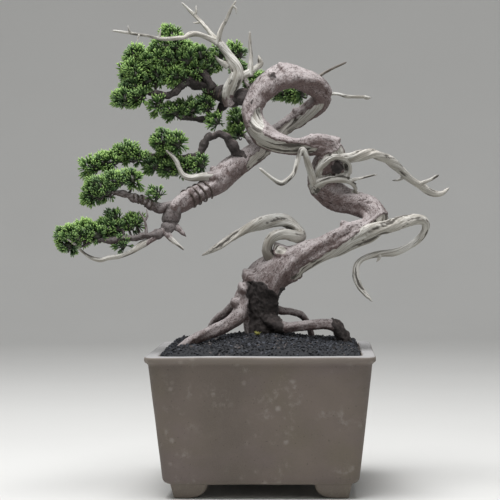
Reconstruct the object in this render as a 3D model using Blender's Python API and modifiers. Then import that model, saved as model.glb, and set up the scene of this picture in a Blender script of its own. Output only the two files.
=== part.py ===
"""Old juniper bonsai with bare deadwood, growing in a square stoneware pot.

The origin is the middle of the pot on the surface it stands on. +Z is up, +X is to the right
of someone who faces the tree, and the front of the tree looks towards -Y. Lengths are in
metres. Rows of limb points are in millimetres, counted from the middle of the pot's mouth.
"""
import math

import bmesh
import bpy
from mathutils import Matrix, Vector

MM = 0.001

# ---------------------------------------------------------------- driving dimensions
TREE_HEIGHT = 0.399        # top of the deadwood above the pot's rim
TREE_ROWS_HEIGHT = 0.399   # the height that the rows of limb points are written for
POT_WIDTH = 0.2525         # outside of the square rim
POT_HEIGHT = 0.158         # surface to the top of the rim, feet included
RIM_HEIGHT = 0.0085        # depth of the band round the mouth
RIM_OVERHANG = 0.003       # how far the band stands out from the wall
RIM_WIDTH = 0.0155         # flat top of the rim, outside to inside
TAPER = 0.0145             # how far each wall leans in between the band and the base
WALL = 0.012
FLOOR = 0.012
CORNER_RADIUS = 0.013      # upright corners of the pot
BASE_RADIUS = 0.008        # rounded edge round the bottom
RIM_EDGE = 0.0015
FOOT_HEIGHT = 0.0162
FOOT_TOP = 0.041           # width of a foot where it meets the pot
FOOT_BOTTOM = 0.022        # width of a foot where it stands
FOOT_LEAN = 0.0035         # how far its outer side draws in towards the ground
FOOT_INSET = 0.0008        # flat of the base left outside each foot
FOOT_OVERLAP = 0.002       # how far a foot reaches up into the floor
DRAIN_HOLE_RADIUS = 0.014
DRAIN_HOLE_OFFSET = 0.042  # each drain hole from the middle of the floor
WIRING_HOLE_RADIUS = 0.0025
WIRING_HOLE_X = 0.020
WIRING_HOLE_Y = 0.036
SCREEN_CELLS = 5
SCREEN_PITCH = 0.008
SCREEN_STRAND = 0.0026
SCREEN_THICKNESS = 0.001
CLIP_WIRE_RADIUS = 0.00075
CLIP_REACH = 0.005         # how far a clip's legs reach past the drain hole
CLIP_BEND = 0.0015
TIE_WIRE_RADIUS = 0.00075
TIE_COLLAR = 0.024         # half width of the loop round the buried foot of the trunk
TIE_COLLAR_DEPTH = 0.012   # depth of that loop below the rim
TIE_RISE = 0.030           # height over which a tie-down wire leans in to the loop
TIE_BEND = 0.002
TIE_SPLIT = 0.0012         # half the space between a tie-down wire's two ends
TRAINING_WIRE_RADIUS = 0.0012
COIL_SLACK = 0.0009        # space between a training wire and its limb
DRAINAGE_DEPTH = 0.018     # coarse layer over the screens
DRESSING_DEPTH = 0.010     # grit at the wall, down from the rim
MOUND_SHOULDER = 0.009     # grit above the rim over most of the mouth
MOUND_PEAK = 0.021         # grit above the rim beside the trunk
MOUND_EDGE = -0.002        # grit against the wall
MOUND_SPREAD = 0.042       # how wide the heap round the trunk is
MOUND_FALL = 0.013         # width of the slope down to the wall
MOUND_CELLS = 12
ROOT_ROWS_BED = 0.11075    # half width of the mouth that the rows of root points suit
GAP = 0.0003               # clearance between pieces that touch

BASE_HALF = POT_WIDTH / 2 - RIM_OVERHANG - TAPER
BODY_HALF = POT_WIDTH / 2 - RIM_OVERHANG
MOUTH_HALF = POT_WIDTH / 2 - RIM_WIDTH
FLOOR_TOP = FOOT_HEIGHT + FLOOR
TREE_SCALE = TREE_HEIGHT / TREE_ROWS_HEIGHT
BED_SCALE = MOUTH_HALF / ROOT_ROWS_BED

# ---------------------------------------------------------------- limbs
# Each row is x, y, z and radius in millimetres.
TRUNK = [
    (-1, 0, -36, 24), (-1, 0, -18, 21), (-1, 0, 0, 19), (-2, 0, 18, 18), (-2, 0, 34, 18),
    (-3, -2, 55, 19), (3, -5, 76, 22), (24, -12, 94, 19), (49, -18, 108, 16.5), (77, -22, 118, 15.5),
    (103, -23, 129, 15), (121, -20, 134, 15), (130, -13, 147, 15), (123, -3, 161, 15),
    (109, 4, 166, 15), (91, 9, 173, 15), (76, 10, 183, 15), (71, 7, 195, 15.5), (73, 1, 209, 15.5),
    (78, -5, 221, 14), (73, -9, 231, 12), (62, -11, 234, 11), (43, -12, 232, 10.5),
    (24, -14, 235, 12), (6, -14, 243, 13.5), (-7, -12, 256, 12.5), (-11, -8, 273, 11.5),
    (-4, -4, 289, 12), (11, 0, 304, 13), (29, 5, 313, 15), (48, 10, 310, 14), (63, 16, 302, 13.5),
    (71, 23, 292, 12),
]
SHELF = [
    (58, 4, 183, 4.5), (61, -7, 188, 5), (71, -12, 192, 5), (83, -12, 194, 5), (96, -9, 193, 5),
    (104, -5, 189, 4), (108, 0, 182, 3),
]
EYE_RIM = [
    (59, -5, 194, 3.5), (63, -12, 204, 3.5), (72, -18, 213, 4), (83, -20, 219, 4),
    (94, -18, 217, 4), (100, -14, 211, 3.5), (100, -10, 202, 3.5), (93, -7, 195, 3.5),
]
ROOTS = {
    "root_front_left": [
        (-10, -8, 72, 8), (-23, -16, 63, 7), (-24, -22, 50, 7), (-28, -27, 38, 8), (-40, -32, 29, 7.5),
        (-53, -38, 23, 7), (-69, -46, 17, 6), (-83, -54, 10, 5.5), (-94, -62, 3, 4.5),
        (-102, -68, -6, 3.5),
    ],
    "root_back_left": [
        (-12, 6, 65, 6), (-30, 14, 54, 5.5), (-43, 20, 41, 5.5), (-54, 26, 33, 5), (-63, 32, 20, 4.5),
        (-71, 38, 0, 3.5),
    ],
    "root_right": [
        (-4, -8, 45, 8), (10, -14, 33, 7), (24, -18, 26, 6), (40, -19, 27, 5.5), (55, -17, 28, 5.5),
        (69, -14, 29, 6), (81, -12, 27, 7), (89, -10, 19, 7), (93, -9, 9, 6.5), (97, -8, -6, 5.5),
    ],
    "root_back_right": [
        (4, 7, 49, 6), (20, 16, 43, 4.5), (33, 24, 41, 4), (45, 32, 36, 4), (53, 40, 23, 4),
        (58, 46, 2, 3.5),
    ],
}
BRANCHES = {
    "branch_low_left": [
        (71, 22, 292, 9.5), (63, 30, 281, 11), (45, 34, 269, 11), (30, 32, 259, 10), (15, 26, 247, 10),
        (1, 17, 234, 10.5), (-15, 6, 222, 11.5), (-28, -6, 212, 12), (-40, -16, 202, 12.5),
        (-49, -24, 190, 11.5), (-63, -34, 182, 10.5), (-78, -44, 174, 10.5), (-90, -52, 167, 10),
        (-99, -58, 159, 9),
    ],
    "branch_low_tip": [
        (-97, -55, 164, 7), (-100, -59, 149, 7.5), (-105, -64, 138, 6.5), (-116, -70, 132, 4.5),
        (-131, -76, 131, 3.5), (-148, -82, 129, 3), (-165, -88, 126, 2.5), (-184, -94, 126, 1.5),
    ],
    "branch_left": [
        (-94, -55, 163, 6), (-112, -61, 162, 6), (-123, -65, 166, 4.5), (-131, -68, 171, 4),
        (-141, -72, 173, 3.5), (-153, -75, 178, 2.5), (-173, -79, 182, 1.5),
    ],
    "branch_middle": [
        (-24, -4, 219, 5), (-34, -14, 234, 4.5), (-39, -17, 243, 4), (-48, -19, 247, 3.5),
        (-59, -21, 243, 3.5), (-65, -23, 234, 3.5), (-70, -25, 222, 3.5), (-82, -27, 219, 3),
        (-105, -30, 218, 2.5), (-125, -34, 221, 2), (-148, -42, 216, 2), (-175, -50, 215, 1.5),
    ],
    "branch_crown": [
        (-7, -7, 282, 8.5), (-21, -4, 288, 8), (-34, 0, 288, 8), (-48, 3, 294, 7), (-63, 2, 300, 5.5),
        (-75, -2, 304, 5), (-85, -8, 308, 4.5), (-91, -14, 302, 4), (-97, -18, 295, 3.5),
        (-108, -22, 290, 3), (-121, -26, 293, 2.5), (-146, -30, 293, 1.5),
    ],
    "branch_crown_under": [
        (-45, 6, 295, 4), (-44, 12, 282, 3.5), (-51, 10, 271, 3), (-68, 2, 264, 2.5), (-90, -8, 266, 2),
    ],
    "branch_crown_top": [
        (-58, 0, 300, 4), (-67, 0, 315, 3.5), (-78, -4, 328, 3), (-90, -6, 342, 2.5), (-102, -8, 355, 1.5),
    ],
    "branch_back": [
        (1, 0, 293, 5.5), (-3, 25, 297, 4.5), (-7, 45, 297, 4), (-1, 62, 302, 3), (15, 74, 299, 2.5),
        (37, 82, 296, 1.5),
    ],
    "branch_back_top": [
        (-6, 44, 297, 3.5), (-17, 57, 308, 3), (-28, 64, 326, 2.5), (-34, 66, 347, 1.5),
    ],
    "branch_back_low": [
        (-3, 14, 231, 3.5), (-14, 28, 240, 2.5), (-24, 38, 250, 2), (-29, 41, 268, 1.5),
    ],
}
DEADWOOD = {
    "jin_crown": [
        (-36, -3, 282, 6.5), (-39, -9, 293, 7), (-30, -12, 308, 7.5), (-28, -12, 318, 6.5),
        (-32, -11, 327, 6.5), (-38, -10, 338, 5.5), (-45, -9, 347, 5), (-51, -8, 354, 3.5),
    ],
    "jin_crown_left": [
        (-47, -8, 350, 3), (-62, -14, 357, 3), (-72, -20, 360, 3), (-80, -26, 359, 3),
        (-86, -30, 355, 2.5), (-96, -34, 354, 2.5), (-108, -38, 353, 2.5), (-119, -42, 354, 2),
        (-128, -45, 356, 1.5), (-137, -47, 357, 1.5), (-148, -48, 359, 1.5), (-164, -52, 361, 1),
    ],
    "jin_crown_middle": [
        (-50, -7, 351, 3), (-64, -1, 370, 2.5), (-77, 4, 384, 2), (-91, 8, 398, 1),
    ],
    "jin_crown_right": [
        (-51, -10, 349, 3), (-46, -13, 365, 2.5), (-39, -15, 377, 2), (-34, -17, 388, 1.5),
        (-29, -19, 396, 1),
    ],
    "jin_crown_side": [
        (-30, -10, 309, 3.5), (-15, -8, 316, 3.5), (-6, -4, 322, 3), (-1, -2, 327, 3.5),
        (-2, -3, 332, 2.5),
    ],
    "jin_crown_spike": [
        (-13, -7, 313, 3), (-12, -5, 335, 2.5), (-13, -6, 347, 2), (-13, -7, 362, 1),
    ],
    "jin_arch_upper": [
        (57, 13, 303, 2.5), (66, 11, 313, 2), (80, 8, 321, 1.5), (96, 4, 328, 1),
    ],
    "jin_arch_right": [
        (68, 20, 293, 2.5), (86, 16, 293, 2), (98, 14, 290, 2), (121, 12, 289, 1.5),
    ],
    "jin_right": [
        (81, -7, 218, 5.5), (98, -8, 218, 5.5), (114, 4, 222, 5.5), (127, 18, 224, 6),
        (138, 32, 221, 5.5), (149, 46, 216, 5.5), (160, 58, 207, 5), (172, 70, 197, 4.5),
        (184, 82, 189, 4.5), (199, 97, 180, 4.5), (212, 108, 179, 3.5), (220, 115, 184, 2),
    ],
    "jin_right_fork": [
        (182, 80, 189, 2.5), (196, 76, 194, 2), (205, 72, 199, 1.5),
    ],
    "jin_centre": [
        (64, 0, 184, 5), (59, -10, 191, 4), (56, -15, 202, 4), (51, -20, 219, 3.5), (48, -23, 227, 3),
        (44, -26, 226, 3), (41, -29, 215, 2.5), (37, -33, 201, 2.5), (30, -36, 193, 2.5),
        (22, -39, 189, 2.5), (11, -42, 196, 2), (0, -45, 205, 1.5),
    ],
    "jin_low_right": [
        (102, -24, 129, 8), (125, -28, 136, 8.5), (143, -27, 139, 8), (160, -24, 145, 7),
        (175, -21, 148, 5.5), (184, -19, 146, 5), (186, -16, 138, 4.5), (180, -14, 127, 4),
        (169, -13, 118, 3.5), (153, -14, 111, 3.5), (134, -17, 109, 3.5), (119, -20, 105, 3.5),
        (109, -22, 98, 3.5), (106, -24, 87, 3.5), (109, -26, 75, 3), (116, -28, 65, 2.5),
        (124, -30, 56, 1),
    ],
    "jin_low_left": [
        (22, -11, 92, 6.5), (11, -12, 103, 6.5), (6, -14, 112, 6.5), (7, -16, 121, 6.5),
        (13, -18, 129, 6.5), (23, -18, 132, 6), (33, -17, 131, 6), (41, -13, 129, 6),
        (44, -7, 132, 6), (38, -3, 139, 6.5), (27, -3, 146, 7),
        (12, -7, 147, 7), (-4, -13, 144, 6.5), (-19, -19, 137, 5.5), (-34, -24, 128, 4.5),
        (-48, -29, 119, 3.5), (-66, -34, 109, 1),
    ],
    "jin_left": [
        (-39, -18, 197, 5.5), (-55, -32, 197, 5), (-67, -38, 197, 4.5), (-79, -43, 196, 4),
        (-87, -46, 199, 4), (-91, -48, 206, 3.5), (-95, -50, 215, 2.5), (-100, -52, 222, 2),
        (-105, -54, 226, 1),
    ],
    "jin_under": [
        (-106, -65, 138, 4), (-120, -72, 128, 3.5), (-133, -78, 120, 3.5), (-142, -83, 114, 3),
        (-154, -88, 109, 2.5), (-167, -92, 107, 2.5), (-176, -96, 105, 2.5), (-186, -99, 108, 2),
        (-194, -102, 114, 1.5), (-202, -104, 122, 1.5), (-210, -106, 128, 1),
    ],
}

# Foliage pads: each row is one cushion of twigs, as x, y, z of its centre and its half width,
# half depth and half height, in millimetres.
FOLIAGE = {
    "foliage_low_tip": [
        (-203, -96, 136, 22, 24, 15), (-190, -92, 142, 16, 20, 13), (-207, -98, 120, 14, 16, 11),
    ],
    "foliage_low_middle": [(-171, -78, 140, 14, 20, 15), (-163, -78, 153, 9, 14, 12)],
    "foliage_low_inner": [(-146, -70, 144, 14, 16, 11)],
    "foliage_left_lower": [
        (-182, -78, 186, 17, 24, 14), (-160, -76, 188, 20, 24, 12), (-188, -80, 174, 10, 14, 10),
        (-141, -72, 191, 11, 16, 9),
    ],
    "foliage_left_upper": [
        (-186, -56, 212, 16, 24, 12), (-166, -54, 219, 18, 26, 13), (-149, -52, 227, 17, 24, 13),
    ],
    "foliage_middle_top": [(-110, -40, 234, 14, 20, 17), (-95, -36, 233, 14, 18, 12)],
    "foliage_middle_under": [
        (-119, -34, 209, 15, 18, 9), (-95, -30, 207, 20, 18, 10), (-73, -26, 209, 16, 16, 9),
    ],
    "foliage_crown_low_left": [(-151, -34, 286, 19, 26, 12), (-135, -32, 284, 13, 20, 9)],
    "foliage_crown_left": [(-143, -16, 335, 15, 24, 14), (-146, -22, 315, 20, 30, 17)],
    "foliage_crown_centre": [
        (-108, -10, 328, 22, 34, 18), (-88, -8, 327, 20, 32, 19), (-98, -12, 310, 28, 30, 12),
    ],
    "foliage_crown_knob": [(-103, -6, 360, 14, 20, 11)],
    "foliage_crown_right": [(-63, 26, 326, 15, 22, 17), (-51, 28, 338, 9, 14, 10)],
    "foliage_crown_under": [
        (-100, -10, 272, 16, 24, 11), (-80, -2, 272, 18, 26, 12), (-62, 4, 275, 13, 20, 11),
    ],
    "foliage_back_top": [(-33, 66, 344, 12, 18, 15), (-29, 64, 326, 12, 18, 12)],
    "foliage_back_inner": [(-10, 70, 311, 16, 20, 13)],
    "foliage_back_right": [(24, 82, 297, 17, 18, 12), (42, 84, 298, 15, 18, 12)],
    "foliage_back_low": [(-29, 42, 262, 10, 16, 20)],
}

# Training wires: the limb each one is wound on, where it starts and ends along it, and its turns.
TRAINING_WIRES = {
    "training_wire_low": ("branch_low_left", 0.79, 0.92, 4),
    "training_wire_left": ("branch_left", 0.34, 0.66, 5),
    "training_wire_crown": ("branch_crown", 0.22, 0.40, 4),
}
WIRE_POINTS_PER_TURN = 8

# ---------------------------------------------------------------- colours and finishes
FINISHES = {
    "stoneware": ((0.105, 0.083, 0.070), 0.75, 0.0),
    "grit": ((0.022, 0.025, 0.034), 0.90, 0.0),
    "soil": ((0.080, 0.052, 0.033), 0.95, 0.0),
    "gravel": ((0.300, 0.260, 0.210), 0.90, 0.0),
    "bark": ((0.180, 0.125, 0.118), 0.85, 0.0),
    "deadwood": ((0.480, 0.480, 0.440), 0.80, 0.0),
    "foliage": ((0.055, 0.150, 0.045), 0.60, 0.0),
    "wire": ((0.060, 0.045, 0.035), 0.45, 0.9),
    "screen": ((0.015, 0.015, 0.015), 0.60, 0.0),
}


def finish_material(name):
    """The Principled material of one finish, made the first time it is asked for."""
    material = bpy.data.materials.get(name)
    if material is None:
        color, roughness, metallic = FINISHES[name]
        material = bpy.data.materials.new(name)
        material.use_nodes = True
        shader = material.node_tree.nodes["Principled BSDF"]
        shader.inputs["Base Color"].default_value = (*color, 1.0)
        shader.inputs["Roughness"].default_value = roughness
        shader.inputs["Metallic"].default_value = metallic
    return material


# ---------------------------------------------------------------- modelling helpers
def clear_scene():
    for thing in list(bpy.data.objects):
        bpy.data.objects.remove(thing, do_unlink=True)


def new_collection(name):
    collection = bpy.data.collections.new(name)
    bpy.context.scene.collection.children.link(collection)
    return collection


def place_mesh(name, bm, collection):
    """Turns a bmesh into an object whose faces point out."""
    bmesh.ops.recalc_face_normals(bm, faces=bm.faces)
    mesh = bpy.data.meshes.new(name)
    bm.to_mesh(mesh)
    bm.free()
    thing = bpy.data.objects.new(name, mesh)
    collection.objects.link(thing)
    if collection is CUTTERS:
        thing.hide_render = True
        thing.display_type = "WIRE"
    return thing


def evaluated_bmesh(thing):
    """A bmesh of an object, in world space, as its modifiers or its curve bevel leave it."""
    depsgraph = bpy.context.evaluated_depsgraph_get()
    mesh = bpy.data.meshes.new_from_object(thing.evaluated_get(depsgraph))
    bm = bmesh.new()
    bm.from_mesh(mesh)
    bm.transform(thing.matrix_world)
    bpy.data.meshes.remove(mesh)
    return bm


def curve_to_mesh(curve_object, collection):
    """A closed mesh of a bevelled or extruded curve, which is then removed."""
    name = curve_object.name
    bm = evaluated_bmesh(curve_object)
    bmesh.ops.remove_doubles(bm, verts=bm.verts, dist=0.000001)
    curve_object.name = name + "_curve"
    bpy.data.objects.remove(curve_object, do_unlink=True)
    return place_mesh(name, bm, collection)


def smooth_path(rows, steps=2):
    """Points on a smooth curve through rows of x, y, z and radius."""
    knots = [Vector(row) for row in rows]
    ends = [2 * knots[0] - knots[1], *knots, 2 * knots[-1] - knots[-2]]
    path = []
    for index in range(len(knots) - 1):
        before, start, end, after = ends[index:index + 4]
        for step in range(steps):
            t = step / steps
            linear = (end - before) * t
            square = (2 * before - 5 * start + 4 * end - after) * t * t
            cube = (3 * start - before - 3 * end + after) * t * t * t
            path.append(0.5 * (2 * start + linear + square + cube))
    path.append(knots[-1])
    return path


def grown_path(path, grow):
    """The path with every radius larger by grow, and each end drawn out as far."""
    points = [Vector((*point[:3], point[3] + grow)) for point in path]
    for end, inner in ((0, 1), (-1, -2)):
        outward = (points[end].xyz - points[inner].xyz).normalized()
        points[end] = Vector((*(points[end].xyz + outward * grow), points[end][3]))
    return points


def tube(name, path, collection, resolution=1):
    """A round solid along a path whose points carry their own radius, with 4 sides and 2 more
    for each step of resolution."""
    curve = bpy.data.curves.new(name, "CURVE")
    curve.dimensions = "3D"
    curve.bevel_depth = 1.0
    curve.bevel_resolution = resolution
    curve.use_fill_caps = True
    spline = curve.splines.new("POLY")
    spline.points.add(len(path) - 1)
    for point, knot in zip(spline.points, path):
        point.co = (*knot[:3], 1.0)
        point.radius = knot[3]
    thing = bpy.data.objects.new(name, curve)
    collection.objects.link(thing)
    return curve_to_mesh(thing, collection)


def largest_piece(bm):
    """Keeps the largest connected body and drops crumbs left inside a parent limb."""
    left = set(bm.faces)
    bodies = []
    while left:
        front = [left.pop()]
        body = list(front)
        while front:
            face = front.pop()
            for edge in face.edges:
                for other in edge.link_faces:
                    if other in left:
                        left.remove(other)
                        front.append(other)
                        body.append(other)
        bodies.append(body)
    bodies.sort(key=lambda faces: sum(face.calc_area() for face in faces))
    for body in bodies[:-1]:
        bmesh.ops.delete(bm, geom=body, context="FACES")


def combine(thing, others, operation):
    """Applies one Boolean for each of the others, and keeps one connected body."""
    for other in others:
        modifier = thing.modifiers.new("with_" + other.name, "BOOLEAN")
        modifier.operation = operation
        modifier.object = other
        modifier.solver = "EXACT"
    bm = evaluated_bmesh(thing)
    thing.modifiers.clear()
    largest_piece(bm)
    bmesh.ops.recalc_face_normals(bm, faces=bm.faces)
    bm.to_mesh(thing.data)
    bm.free()


def box_of(path):
    """Lowest and highest corner of the tube along a path."""
    low = [min(point[axis] - point[3] for point in path) for axis in range(3)]
    high = [max(point[axis] + point[3] for point in path) for axis in range(3)]
    return low, high


def boxes_meet(one, two):
    return all(one[0][axis] <= two[1][axis] and two[0][axis] <= one[1][axis] for axis in range(3))


def tapered_box(name, halves, heights, corner, collection, base_edge=0.0):
    """A square box, half widths halves at the two heights, with rounded upright corners."""
    bm = bmesh.new()
    bmesh.ops.create_cube(bm, size=2.0)
    for vertex in bm.verts:
        level = 1 if vertex.co.z > 0 else 0
        vertex.co.x *= halves[level]
        vertex.co.y *= halves[level]
        vertex.co.z = heights[level]
    uprights = [edge for edge in bm.edges if edge.verts[0].co.z != edge.verts[1].co.z]
    bmesh.ops.bevel(bm, geom=uprights, offset=corner, segments=4, affect="EDGES", profile=0.5)
    if base_edge:
        around = [edge for edge in bm.edges if all(vertex.co.z == heights[0] for vertex in edge.verts)]
        bmesh.ops.bevel(bm, geom=around, offset=base_edge, segments=3, affect="EDGES", profile=0.5)
    return place_mesh(name, bm, collection)


def upright_cylinder(name, x, y, heights, radius, sides, collection):
    bm = bmesh.new()
    middle = Matrix.Translation((x, y, sum(heights) / 2))
    depth = heights[1] - heights[0]
    bmesh.ops.create_cone(bm, cap_ends=True, segments=sides, radius1=radius, radius2=radius,
                          depth=depth, matrix=middle)
    return place_mesh(name, bm, collection)


def dress(thing, finish, smooth=True):
    """Gives a finished piece its material and shading."""
    thing.data.materials.clear()
    thing.data.materials.append(finish_material(finish))
    if smooth:
        thing.data.shade_smooth()
        thing.data.set_sharp_from_angle(angle=math.radians(50))
    return thing


# ---------------------------------------------------------------- pot
def inner_half(height):
    """Half width of the pot's inside at a height."""
    low, high = BASE_HALF - WALL, MOUTH_HALF
    return low + (high - low) * (height - FLOOR_TOP) / (POT_HEIGHT - FLOOR_TOP)


def foot_levels():
    """Heights from a foot's sole up into the pot's floor, each with how far its outer and its
    inner side are from the corner of the base."""
    steps = 6
    levels = []
    for step in range(steps + 1):
        share = step / steps
        wave = (1 - share) ** 2 * (1 + 2 * share)
        outer = FOOT_LEAN * (1 - share)
        inner = FOOT_TOP + (FOOT_LEAN + FOOT_BOTTOM - FOOT_TOP) * wave
        levels.append((FOOT_HEIGHT * share, outer, inner))
    levels.append((FOOT_HEIGHT + FOOT_OVERLAP, 0.0, FOOT_TOP))
    return levels


def foot(index, side_x, side_y):
    """One bracket foot, standing inwards from its corner of the base."""
    corner = BASE_HALF - BASE_RADIUS - FOOT_INSET
    bm = bmesh.new()
    rings = []
    for height, outer, inner in foot_levels():
        near, far = corner - outer, corner - inner
        square = ((near, near), (far, near), (far, far), (near, far))
        rings.append([bm.verts.new((side_x * x, side_y * y, height)) for x, y in square])
    for below, above in zip(rings, rings[1:]):
        for side in range(4):
            following = (side + 1) % 4
            bm.faces.new((below[side], below[following], above[following], above[side]))
    bm.faces.new(rings[0])
    bm.faces.new(rings[-1])
    return place_mesh("foot_%d" % index, bm, CUTTERS)


def wiring_holes():
    """Where the four wiring holes are, as x, y."""
    return [(x, y) for y in (-WIRING_HOLE_Y, WIRING_HOLE_Y) for x in (-WIRING_HOLE_X, WIRING_HOLE_X)]


def build_pot():
    rim_bottom = POT_HEIGHT - RIM_HEIGHT
    seam = 0.001
    pot = tapered_box("pot", (BASE_HALF, BODY_HALF), (FOOT_HEIGHT, rim_bottom + seam), CORNER_RADIUS,
                      MODEL, BASE_RADIUS)
    rim = tapered_box("rim", (POT_WIDTH / 2,) * 2, (rim_bottom, POT_HEIGHT), CORNER_RADIUS + RIM_OVERHANG,
                      CUTTERS)
    edge = rim.modifiers.new("edge", "BEVEL")
    edge.width = RIM_EDGE
    edge.segments = 2
    edge.limit_method = "ANGLE"
    feet = [foot(2 * (side_y + 1) + side_x, side_x, side_y) for side_y in (-1, 1) for side_x in (-1, 1)]
    combine(pot, [rim, *feet], "UNION")
    above = 0.010
    cavity = tapered_box("cavity", (inner_half(FLOOR_TOP), inner_half(POT_HEIGHT + above)),
                         (FLOOR_TOP, POT_HEIGHT + above), CORNER_RADIUS, CUTTERS)
    through = (FOOT_HEIGHT - above, FLOOR_TOP + above)
    holes = [upright_cylinder("drain_%d" % side, side * DRAIN_HOLE_OFFSET, 0.0, through,
                              DRAIN_HOLE_RADIUS, 20, CUTTERS) for side in (-1, 1)]
    for index, (x, y) in enumerate(wiring_holes()):
        holes.append(upright_cylinder("wiring_%d" % index, x, y, through, WIRING_HOLE_RADIUS, 8, CUTTERS))
    combine(pot, [cavity, *holes], "DIFFERENCE")
    dress(pot, "stoneware")


# ---------------------------------------------------------------- what the pot holds
def build_screen(name, side):
    """A plastic mesh square over one drain hole."""
    bm = bmesh.new()
    half = SCREEN_CELLS * SCREEN_PITCH / 2
    middle = Matrix.Translation((side * DRAIN_HOLE_OFFSET, 0.0, FLOOR_TOP + GAP))
    bmesh.ops.create_grid(bm, x_segments=SCREEN_CELLS, y_segments=SCREEN_CELLS, size=half, matrix=middle)
    rims = bmesh.ops.inset_individual(bm, faces=list(bm.faces), thickness=SCREEN_STRAND / 2)["faces"]
    inside = [face for face in bm.faces if face not in set(rims)]
    bmesh.ops.delete(bm, geom=inside, context="FACES")
    screen = place_mesh(name, bm, MODEL)
    thickness = screen.modifiers.new("thickness", "SOLIDIFY")
    thickness.thickness = SCREEN_THICKNESS
    thickness.offset = -1.0 if screen.data.polygons[0].normal.z < 0 else 1.0
    dress(screen, "screen", smooth=False)


def clip_path(side):
    """A staple over the screen, down through the drain hole, and out under the floor."""
    x = side * DRAIN_HOLE_OFFSET
    leg = SCREEN_PITCH
    above = FLOOR_TOP + SCREEN_THICKNESS + 2 * GAP + CLIP_WIRE_RADIUS
    below = FOOT_HEIGHT - GAP - CLIP_WIRE_RADIUS
    reach = DRAIN_HOLE_RADIUS + CLIP_REACH
    half = [(leg - CLIP_BEND, above), (leg, above - CLIP_BEND), (leg, below + CLIP_BEND),
            (leg + CLIP_BEND, below), (reach, below)]
    route = [(-across, height) for across, height in reversed(half)] + half
    return [Vector((x + across, 0.0, height, CLIP_WIRE_RADIUS)) for across, height in route]


def tie_wire_path(side):
    """Up through one wiring hole, round the buried foot of the trunk, and down the other."""
    radius = TIE_WIRE_RADIUS
    under = FOOT_HEIGHT - GAP - radius
    hole_y = side * WIRING_HOLE_Y
    collar_height = POT_HEIGHT - TREE_SCALE * TIE_COLLAR_DEPTH
    collar = TREE_SCALE * TIE_COLLAR
    half = [
        (WIRING_HOLE_X - TIE_BEND, hole_y, under), (WIRING_HOLE_X, hole_y, under + TIE_BEND),
        (WIRING_HOLE_X, hole_y, FLOOR_TOP + FLOOR),
        (collar, side * 0.58 * collar, collar_height - TIE_RISE),
        (collar, side * 0.25 * collar, collar_height - TIE_RISE / 5),
        (0.80 * collar, side * 0.70 * collar, collar_height), (0.0, side * 1.04 * collar, collar_height),
    ]
    left = [(-x, y, z) for x, y, z in half]
    route = [*reversed(half), *left[:-1]]
    route[0] = (TIE_SPLIT, route[0][1], route[0][2])
    route.append((-TIE_SPLIT, route[0][1], route[0][2]))
    return [Vector((*point, radius)) for point in route]


def soil_block(name, heights, finish):
    """A layer that fills the pot between two heights, a clearance from its walls."""
    halves = [inner_half(height) - GAP for height in heights]
    layer = tapered_box(name, halves, heights, CORNER_RADIUS, MODEL)
    return dress(layer, finish, smooth=False)


def mound_height(x, y):
    """Height of the grit over a point of the mouth, above the surface the pot stands on."""
    wall = MOUTH_HALF - max(abs(x), abs(y))
    fall = min(max(wall / MOUND_FALL, 0.0), 1.0)
    heap = math.exp(-(x * x + y * y) / (2 * MOUND_SPREAD ** 2))
    shoulder = MOUND_SHOULDER + (MOUND_PEAK - MOUND_SHOULDER) * heap
    return POT_HEIGHT + MOUND_EDGE + (shoulder - MOUND_EDGE) * math.sqrt(fall)


def mound(name):
    """A block whose top is the heaped surface of the grit."""
    bm = bmesh.new()
    half = MOUTH_HALF * 1.05
    bmesh.ops.create_grid(bm, x_segments=MOUND_CELLS, y_segments=MOUND_CELLS, size=half)
    top = list(bm.faces)
    walls = bmesh.ops.extrude_face_region(bm, geom=top)["geom"]
    lifted = {item for item in walls if isinstance(item, bmesh.types.BMVert)}
    for vertex in bm.verts:
        if vertex in lifted:
            vertex.co.z = mound_height(vertex.co.x, vertex.co.y)
        else:
            vertex.co.z = POT_HEIGHT - 3 * DRESSING_DEPTH
    return place_mesh(name, bm, CUTTERS)


def build_fill():
    """Screens, clips, tie-down wires and the three layers that the tree stands in."""
    wires = {}
    for name, side in (("left", -1), ("right", 1)):
        build_screen("drainage_screen_" + name, side)
        wires["screen_clip_" + name] = clip_path(side)
    for name, side in (("front", -1), ("back", 1)):
        wires["tie_down_wire_" + name] = tie_wire_path(side)
    for name, path in wires.items():
        dress(tube(name, path, MODEL), "wire")
    bottom = FLOOR_TOP + SCREEN_THICKNESS + 4 * GAP + 2 * CLIP_WIRE_RADIUS
    drainage_top = FLOOR_TOP + DRAINAGE_DEPTH
    soil_top = POT_HEIGHT - DRESSING_DEPTH
    layers = [
        soil_block("drainage_layer", (bottom, drainage_top), "gravel"),
        soil_block("potting_soil", (drainage_top + GAP, soil_top), "soil"),
        soil_block("top_dressing", (soil_top + GAP, POT_HEIGHT + 2 * MOUND_PEAK), "grit"),
    ]
    combine(layers[2], [mound("mound")], "INTERSECT")
    tie_wires = [path for name, path in wires.items() if name.startswith("tie")]
    for layer in layers:
        cutters = limb_cutters(layer, ["trunk", *ROOTS])
        for index, path in enumerate(tie_wires):
            cutters.append(tube("%s_wire_%d" % (layer.name, index), grown_path(path, GAP), CUTTERS))
        combine(layer, cutters, "DIFFERENCE")
        dress(layer, layer.data.materials[0].name, smooth=False)


# ---------------------------------------------------------------- tree
def tree_path(rows, ends_in_bed=False, steps=1):
    """Rows of a limb as a smooth path in metres. A root's far end keeps to the pot's mouth."""
    placed = []
    for index, (x, y, z, radius) in enumerate(rows):
        share = index / (len(rows) - 1) if ends_in_bed else 0.0
        scale = (TREE_SCALE + (BED_SCALE - TREE_SCALE) * share) * MM
        placed.append((x * scale, y * scale, POT_HEIGHT + z * scale, radius * TREE_SCALE * MM))
    return smooth_path(placed, steps)


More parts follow.
